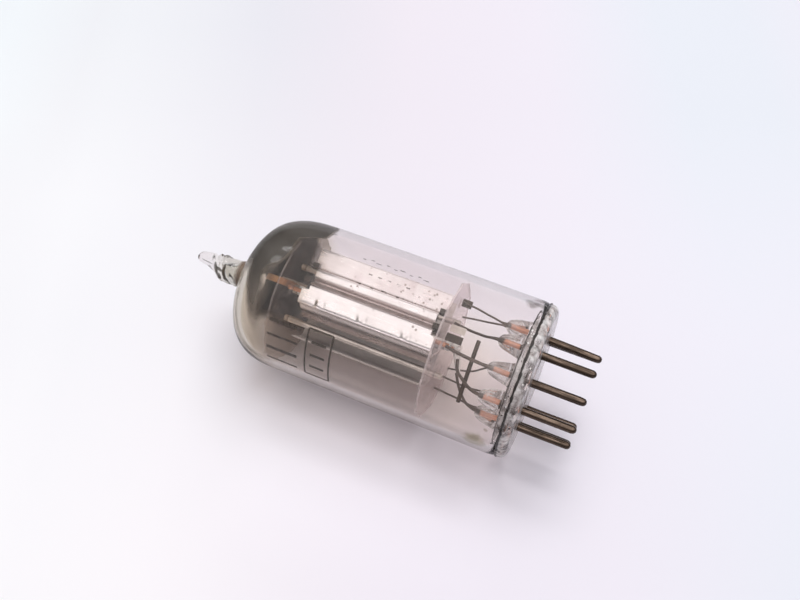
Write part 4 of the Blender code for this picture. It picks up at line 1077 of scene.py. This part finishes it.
out_p, in_p = film_profile(0.0), film_profile(0.03)
v, f = lathe_data(out_p + in_p[::-1], 128, lambda v: np.stack([v[:, 0], v[:, 1] + dome_lean(v[:, 2]), v[:, 2]], 1))
obj_from("getter_film", PA(v), f, M_FILM, angle=60)
neck = smooth_curve([(1.62, 40.75), (1.34, 41.3), (1.22, 42.0), (1.12, 43.0)], 0.3, 0.1)
v, f = lathe_data([tuple(q) for q in neck] + [(q[0] + 0.03, q[1]) for q in neck[::-1]], 64)
obj_from("getter_film_neck", PA(v), f, M_NECK, angle=60)

# ------------------------------------------------------------------ generic printed marks: bars and a frame, no letters
def on_bulb(ang, z, off):
    r = R + off
    return (r * math.cos(ang), r * math.sin(ang), z)


def mark(verts, faces, a0, a1, z0, z1):
    """A thin raised patch of ink between two angles and two heights."""
    na, nz = max(2, int(abs(a1 - a0) * R / 0.15) + 1), max(2, int(abs(z1 - z0) / 0.3) + 1)
    base = len(verts)
    for off in (0.004, 0.016):
        for i in range(na + 1):
            for k in range(nz + 1):
                verts.append(on_bulb(a0 + (a1 - a0) * i / na, z0 + (z1 - z0) * k / nz, off))
    row = nz + 1
    layer = (na + 1) * row
    for i in range(na):
        for k in range(nz):
            a = base + i * row + k
            faces.append((a, a + 1, a + row + 1, a + row))
            b = a + layer
            faces.append((b, b + row, b + row + 1, b + 1))
    for i in range(na):
        for k in (0, nz):
            a = base + i * row + k
            faces.append((a, a + row, a + row + layer, a + layer))
    for k in range(nz):
        for i in (0, na):
            a = base + i * row + k
            faces.append((a, a + 1, a + 1 + layer, a + layer))


verts, faces = [], []
arc = 1.0 / R
# a row of plain bars of one length
for k, w in enumerate((0.5, 0.34, 0.5, 0.34)):
    a = math.radians(-22.5 - 11.5 * k)
    mark(verts, faces, a - w * arc / 2, a + w * arc / 2, 28.1, 32.4)
# a frame with three short bars inside it
a_lo, a_hi, z_lo, z_hi = math.radians(-59), math.radians(-18.5), 23.7, 27.0
for aa in (a_lo, a_hi):
    mark(verts, faces, aa - 0.13 * arc, aa + 0.13 * arc, z_lo, z_hi)
for zz in (z_lo, z_hi):
    mark(verts, faces, a_lo, a_hi, zz - 0.12, zz + 0.12)
for k in range(3):
    a = math.radians(-28 - 10.5 * k)
    mark(verts, faces, a - 0.19 * arc, a + 0.19 * arc, 24.35, 26.35)
obj_from("printed_marks", PA(verts), faces, M_INK, smooth=False)
# what is left of a worn print across the middle: faint dashes
verts, faces = [], []
for k in range(9):
    a = math.radians(43.5 + (0.8 if k % 2 else -0.6))
    mark(verts, faces, a - 0.07 * arc, a + 0.07 * arc, 15.6 + 1.05 * k, 15.6 + 1.05 * k + (0.45 if k % 3 else 0.75))
for k in range(4):
    a = math.radians(22.0 + (0.5 if k % 2 else 0.0))
    mark(verts, faces, a - 0.10 * arc, a + 0.10 * arc, 17.9 + 1.7 * k, 17.9 + 1.7 * k + (0.7 if k % 2 else 0.4))
for k in range(5):
    a = math.radians(31.5)
    mark(verts, faces, a - 0.09 * arc, a + 0.09 * arc, 17.2 + 1.25 * k, 17.2 + 1.25 * k + 0.5)
obj_from("worn_marks", PA(verts), faces, M_INK_WORN, smooth=False)

# ------------------------------------------------------------------ stage: floor, light, camera
UP = Vector((0.39689, 0.91786, 0.0))
BACK = Vector((-0.838, 0.3624, 0.4078))
RIGHT = Vector((-0.3743, 0.1618, -0.9131))

k = Mat("floor_look")
tone = k.noise(3.0, 2.0)
fine = k.noise(900.0, 4.0)
fx = k.n("ShaderNodeVectorMath", operation="DOT_PRODUCT")
k.put(fx.inputs[0], k.coords())
fx.inputs[1].default_value = RIGHT
# painted light: the floor runs from near white on the left to a darker lavender grey on the right, lighter towards the
# front and darker towards the back
across = k.remap(fx.outputs["Value"], -0.070, 0.033, 0, 1)
fy = k.n("ShaderNodeVectorMath", operation="DOT_PRODUCT")
k.put(fy.inputs[0], k.coords())
fy.inputs[1].default_value = BACK
grade = k.ramp(across, [(0.0, (0.965, 0.957, 0.962)), (0.28, (0.828, 0.800, 0.838)), (0.55, (0.795, 0.745, 0.812)), (1.0, (0.792, 0.778, 0.850))], "B_SPLINE")
depth = k.remap(fy.outputs["Value"], -0.033, 0.062, 1.05, 0.955)
shade = k.n("ShaderNodeVectorMath", operation="SCALE")
k.put(shade.inputs[0], grade)
k.put(shade.inputs["Scale"], depth)
grade = shade.outputs[0]
# painted shadow: a soft darker band on the floor beside the bulb, a lighter strip under it and a faint lighter halo
# farther out, along the bulb's length
along = k.math("ADD", k.math("MULTIPLY", fx.outputs["Value"], -0.913), k.math("MULTIPLY", fy.outputs["Value"], 0.408))
beside = k.math("ADD", k.math("MULTIPLY", fx.outputs["Value"], 0.408), k.math("MULTIPLY", fy.outputs["Value"], 0.913))
run = k.math("MULTIPLY", k.remap(along, -0.008, 0.006, smooth=True), k.remap(along, 0.036, 0.027, smooth=True))
wide = k.math("MULTIPLY", k.remap(beside, -0.0185, -0.0140, smooth=True), 0.12)
tight = k.math("MULTIPLY", k.remap(beside, -0.0128, -0.0098, smooth=True), 0.13)
painted_shadow = k.math("MULTIPLY", k.math("ADD", wide, tight), k.remap(beside, -0.0056, -0.0070))
painted_light_under = k.math("MULTIPLY", k.math("MULTIPLY", k.remap(beside, -0.0062, -0.0045), k.remap(beside, 0.001, -0.002)), k.remap(along, 0.010, 0.016))
painted_halo = k.math("MULTIPLY", k.remap(beside, -0.032, -0.024), k.remap(beside, -0.0140, -0.0175))
painted_shadow = k.math("MULTIPLY", painted_shadow, k.remap(along, 0.000, 0.007, smooth=True))
part = k.math("ADD", k.math("SUBTRACT", k.math("MULTIPLY", painted_light_under, 0.30), painted_shadow), k.math("MULTIPLY", painted_halo, 0.03))
local = k.math("ADD", 1.0, k.math("MULTIPLY", run, part))
shade2 = k.n("ShaderNodeVectorMath", operation="SCALE")
k.put(shade2.inputs[0], grade)
k.put(shade2.inputs["Scale"], local)
grade = shade2.outputs[0]
# painted colour cast: the far right corners are made cooler
corner = k.math("MULTIPLY", k.remap(fx.outputs["Value"], 0.010, 0.034), k.remap(k.math("ABSOLUTE", k.math("SUBTRACT", fy.outputs["Value"], 0.012)), 0.0, 0.045, 0.35, 1.0))
cool = k.n("ShaderNodeVectorMath", operation="MULTIPLY")
k.put(cool.inputs[0], grade)
corner = k.math("MULTIPLY", corner, k.remap(fx.outputs["Value"], 0.075, 0.050))
k.put(cool.inputs[1], k.mix(corner, (1.0, 1.0, 1.0), (0.93, 1.0, 0.985)))
top = k.n("ShaderNodeVectorMath", operation="MULTIPLY")
k.put(top.inputs[0], cool.outputs[0])
# painted light: on the left the floor is lighter towards the front and darker and cooler towards the back
left = k.remap(fx.outputs["Value"], -0.015, -0.042)
slope = k.remap(fy.outputs["Value"], -0.018, 0.085, 0.0, 1.0)
k.put(top.inputs[1], k.mix(left, (1.0, 1.0, 1.0), k.mix(slope, (1.055, 1.055, 1.045), (0.90, 0.935, 0.955))))
# painted light: at the far left edge, a brighter patch at the back and a darker one at the front
edge_hi = k.math("MULTIPLY", k.remap(fx.outputs["Value"], -0.076, -0.092), k.remap(fy.outputs["Value"], 0.040, 0.060))
edge_lo = k.math("MULTIPLY", k.remap(fx.outputs["Value"], -0.048, -0.064), k.remap(fy.outputs["Value"], 0.040, 0.015))
rim = k.n("ShaderNodeVectorMath", operation="MULTIPLY")
k.put(rim.inputs[0], top.outputs[0])
k.put(rim.inputs[1], k.mix(edge_lo, k.mix(edge_hi, (1.0, 1.0, 1.0), (1.06, 1.09, 1.08)), (0.95, 0.955, 0.965)))
grade = rim.outputs[0]
col = k.mix(k.remap(tone, 0.3, 0.7, 0.0, 0.12), grade, (0.90, 0.87, 0.915))
floor_bsdf = k.principled(Base_Color=col, Roughness=0.75, Normal=k.bump(fine, 0.03, 0.0002))
tr = k.n("ShaderNodeBsdfTransparent")
geo = k.n("ShaderNodeNewGeometry")
reach = k.n("ShaderNodeVectorMath", operation="LENGTH")
k.put(reach.inputs[0], k.coords())
seen = k.n("ShaderNodeLightPath")
away = k.math("MULTIPLY", k.remap(reach.outputs["Value"], 0.22, 0.75, 0, 1, smooth=True), seen.outputs["Is Camera Ray"])
floor_mat = k.done(k.mixed(k.math("MAXIMUM", geo.outputs["Backfacing"], away), floor_bsdf, tr.outputs[0]))
side = UP.cross(Vector((0, 0, 1))).normalized()
bm = bmesh.new()
c0 = -UP * (10.3 * MM)
ring = [bm.verts.new(c0 + side * (1.6 * math.cos(a)) + Vector((0, 0, 1)) * (1.6 * math.sin(a))) for a in [2 * math.pi * i / 64 for i in range(64)]]
face = bm.faces.new(ring)
face.normal_update()
if face.normal.dot(UP) < 0:
    face.normal_flip()
mesh = bpy.data.meshes.new("floor")
bm.to_mesh(mesh)
bm.free()
floor = bpy.data.objects.new("floor", mesh)
bpy.context.scene.collection.objects.link(floor)
mesh.materials.append(floor_mat)

world = bpy.data.worlds.new("studio")
bpy.context.scene.world = world
world.use_nodes = True
nt = world.node_tree
nt.nodes.clear()
wo = nt.nodes.new("ShaderNodeOutputWorld")
tc = nt.nodes.new("ShaderNodeTexCoord")
dot = nt.nodes.new("ShaderNodeVectorMath")
dot.operation = "DOT_PRODUCT"
nt.links.new(tc.outputs["Generated"], dot.inputs[0])
dot.inputs[1].default_value = UP
rampn = nt.nodes.new("ShaderNodeValToRGB")
mr = nt.nodes.new("ShaderNodeMapRange")
nt.links.new(dot.outputs["Value"], mr.inputs["Value"])
mr.inputs["From Min"].default_value, mr.inputs["From Max"].default_value = -1.0, 1.0
nt.links.new(mr.outputs["Result"], rampn.inputs["Fac"])
els = rampn.color_ramp.elements
els[0].position, els[0].color = 0.0, (0.60, 0.59, 0.62, 1)
els[1].position, els[1].color = 1.0, (0.80, 0.80, 0.84, 1)
for pos, c in ((0.45, (0.40, 0.39, 0.41)), (0.55, (0.22, 0.21, 0.22)), (0.75, (0.34, 0.33, 0.35))):
    e = els.new(pos)
    e.color = (*c, 1)
# what polished metal and glass mirror: dark at the horizon, a broad soft box overhead
shine = nt.nodes.new("ShaderNodeValToRGB")
nt.links.new(mr.outputs["Result"], shine.inputs["Fac"])
els = shine.color_ramp.elements
els[0].position, els[0].color = 0.0, (0.60, 0.59, 0.62, 1)
els[1].position, els[1].color = 1.0, (1.00, 1.00, 1.03, 1)
for pos, c in ((0.46, (0.45, 0.44, 0.46)), (0.54, (0.18, 0.17, 0.17)), (0.68, (0.28, 0.27, 0.27)), (0.80, (0.80, 0.77, 0.76)), (0.87, (1.48, 1.41, 1.39)), (0.96, (1.50, 1.44, 1.43))):
    e = els.new(pos)
    e.color = (*c, 1)
# what is seen through glass: pale, with a darker band at the horizon that draws its edges
seen_ramp = nt.nodes.new("ShaderNodeValToRGB")
nt.links.new(mr.outputs["Result"], seen_ramp.inputs["Fac"])
els = seen_ramp.color_ramp.elements
els[0].position, els[0].color = 0.0, (0.88, 0.87, 0.93, 1)
els[1].position, els[1].color = 1.0, (0.95, 0.94, 0.97, 1)
for pos, c in ((0.50, (0.86, 0.85, 0.90)), (0.56, (0.32, 0.30, 0.29)), (0.66, (0.36, 0.34, 0.33)), (0.80, (0.90, 0.89, 0.92))):
    e = els.new(pos)
    e.color = (*c, 1)


def background(colour, strength):
    b = nt.nodes.new("ShaderNodeBackground")
    if isinstance(colour, tuple):
        b.inputs["Color"].default_value = (*colour, 1)
    else:
        nt.links.new(colour, b.inputs["Color"])
    b.inputs["Strength"].default_value = strength
    return b.outputs[0]


def choose(fac, a, b):
    m = nt.nodes.new("ShaderNodeMixShader")
    nt.links.new(fac, m.inputs[0])
    nt.links.new(a, m.inputs[1])
    nt.links.new(b, m.inputs[2])
    return m.outputs[0]


lp = nt.nodes.new("ShaderNodeLightPath")
look = choose(lp.outputs["Is Glossy Ray"], background(rampn.outputs["Color"], 0.74), background(shine.outputs["Color"], 1.0))
look = choose(lp.outputs["Is Transmission Ray"], look, background(seen_ramp.outputs["Color"], 1.0))
# rays that went in through the glass, met metal and came out again
tests = []
for socket, least in (("Glossy Depth", 0.5), ("Transmission Depth", 2.5)):
    m = nt.nodes.new("ShaderNodeMath")
    m.operation = "GREATER_THAN"
    nt.links.new(lp.outputs[socket], m.inputs[0])
    m.inputs[1].default_value = least
    tests.append(m.outputs[0])
mirrored = nt.nodes.new("ShaderNodeMath")
mirrored.operation = "MULTIPLY"
nt.links.new(tests[0], mirrored.inputs[0])
nt.links.new(tests[1], mirrored.inputs[1])
look = choose(mirrored.outputs[0], look, background(shine.outputs["Color"], 1.0))
look = choose(lp.outputs["Is Camera Ray"], look, background((0.88, 0.87, 0.93), 1.0))
nt.links.new(look, wo.inputs["Surface"])


def area(name, where, target, size, power, colour=(1, 1, 1)):
    d = bpy.data.lights.new(name, "AREA")
    d.shape = "DISK"
    d.size = size
    d.energy = power
    d.color = colour
    o = bpy.data.objects.new(name, d)
    bpy.context.scene.collection.objects.link(o)
    o.location = where
    o.rotation_mode = "QUATERNION"
    o.rotation_quaternion = (target - where).to_track_quat("-Z", "Y")
    o.visible_camera = False
    o.visible_transmission = False
    return o


MID = Vector((0, 0, 0.021))
key = area("key", MID + UP * 0.32 + BACK * 0.09 + RIGHT * 0.055, MID, 0.28, 1.05, (1.0, 0.99, 0.985))
key.visible_glossy = False
area("fill_back", MID - UP * 0.30 - BACK * 0.1, MID, 0.4, 0.25)
EYE = Vector((0.0854164, 0.0628734, -0.005426))


def glint(name, h, u, z, size, level):
    """A small soft lamp placed so that the bulb's glass mirrors it to the camera from this point; it lights nothing else."""
    p = P(h, u, z)
    r = math.hypot(h, u)
    nr = (r / R) ** (POW - 1) / R
    nz = (max(z - Z0, 0.0) / H) ** (POW - 1) / H
    d = P(h, u, 0).normalized()
    nrm = Vector((d.x * nr, d.y * nr, nz)).normalized()
    v = (EYE - p).normalized()
    out = 2 * nrm.dot(v) * nrm - v
    o = area(name, p + out * 0.25, p, size, level * math.pi * math.pi * (size / 2) ** 2)
    o.visible_diffuse = False


glint("glint_a", 8.88, 5.01, 34.09, 0.044, 6.5)
glint("glint_b", 9.61, 3.24, 34.55, 0.052, 6.5)

cam = bpy.data.cameras.new("camera")
cam.sensor_width = 36.0
cam.lens = 37.439
cam.clip_start, cam.clip_end = 0.005, 10.0
co = bpy.data.objects.new("camera", cam)
bpy.context.scene.collection.objects.link(co)
rot = Matrix(((-0.374264, -0.461013, 0.804608), (0.161836, 0.821881, 0.546187), (-0.913091, 0.334632, -0.232992)))
co.matrix_world = Matrix.Translation((0.0854164, 0.0628734, -0.005426)) @ rot.to_4x4()
bpy.context.scene.camera = co

sc = bpy.context.scene
sc.view_settings.view_transform = "Standard"
sc.view_settings.look = "None"
sc.view_settings.exposure = 0.0
sc.cycles.max_bounces = 14
sc.cycles.transmission_bounces = 14
sc.cycles.transparent_max_bounces = 24
sc.cycles.glossy_bounces = 6
sc.cycles.diffuse_bounces = 3
sc.cycles.caustics_reflective = False
sc.cycles.caustics_refractive = False
sc.cycles.sample_clamp_indirect = 4.0
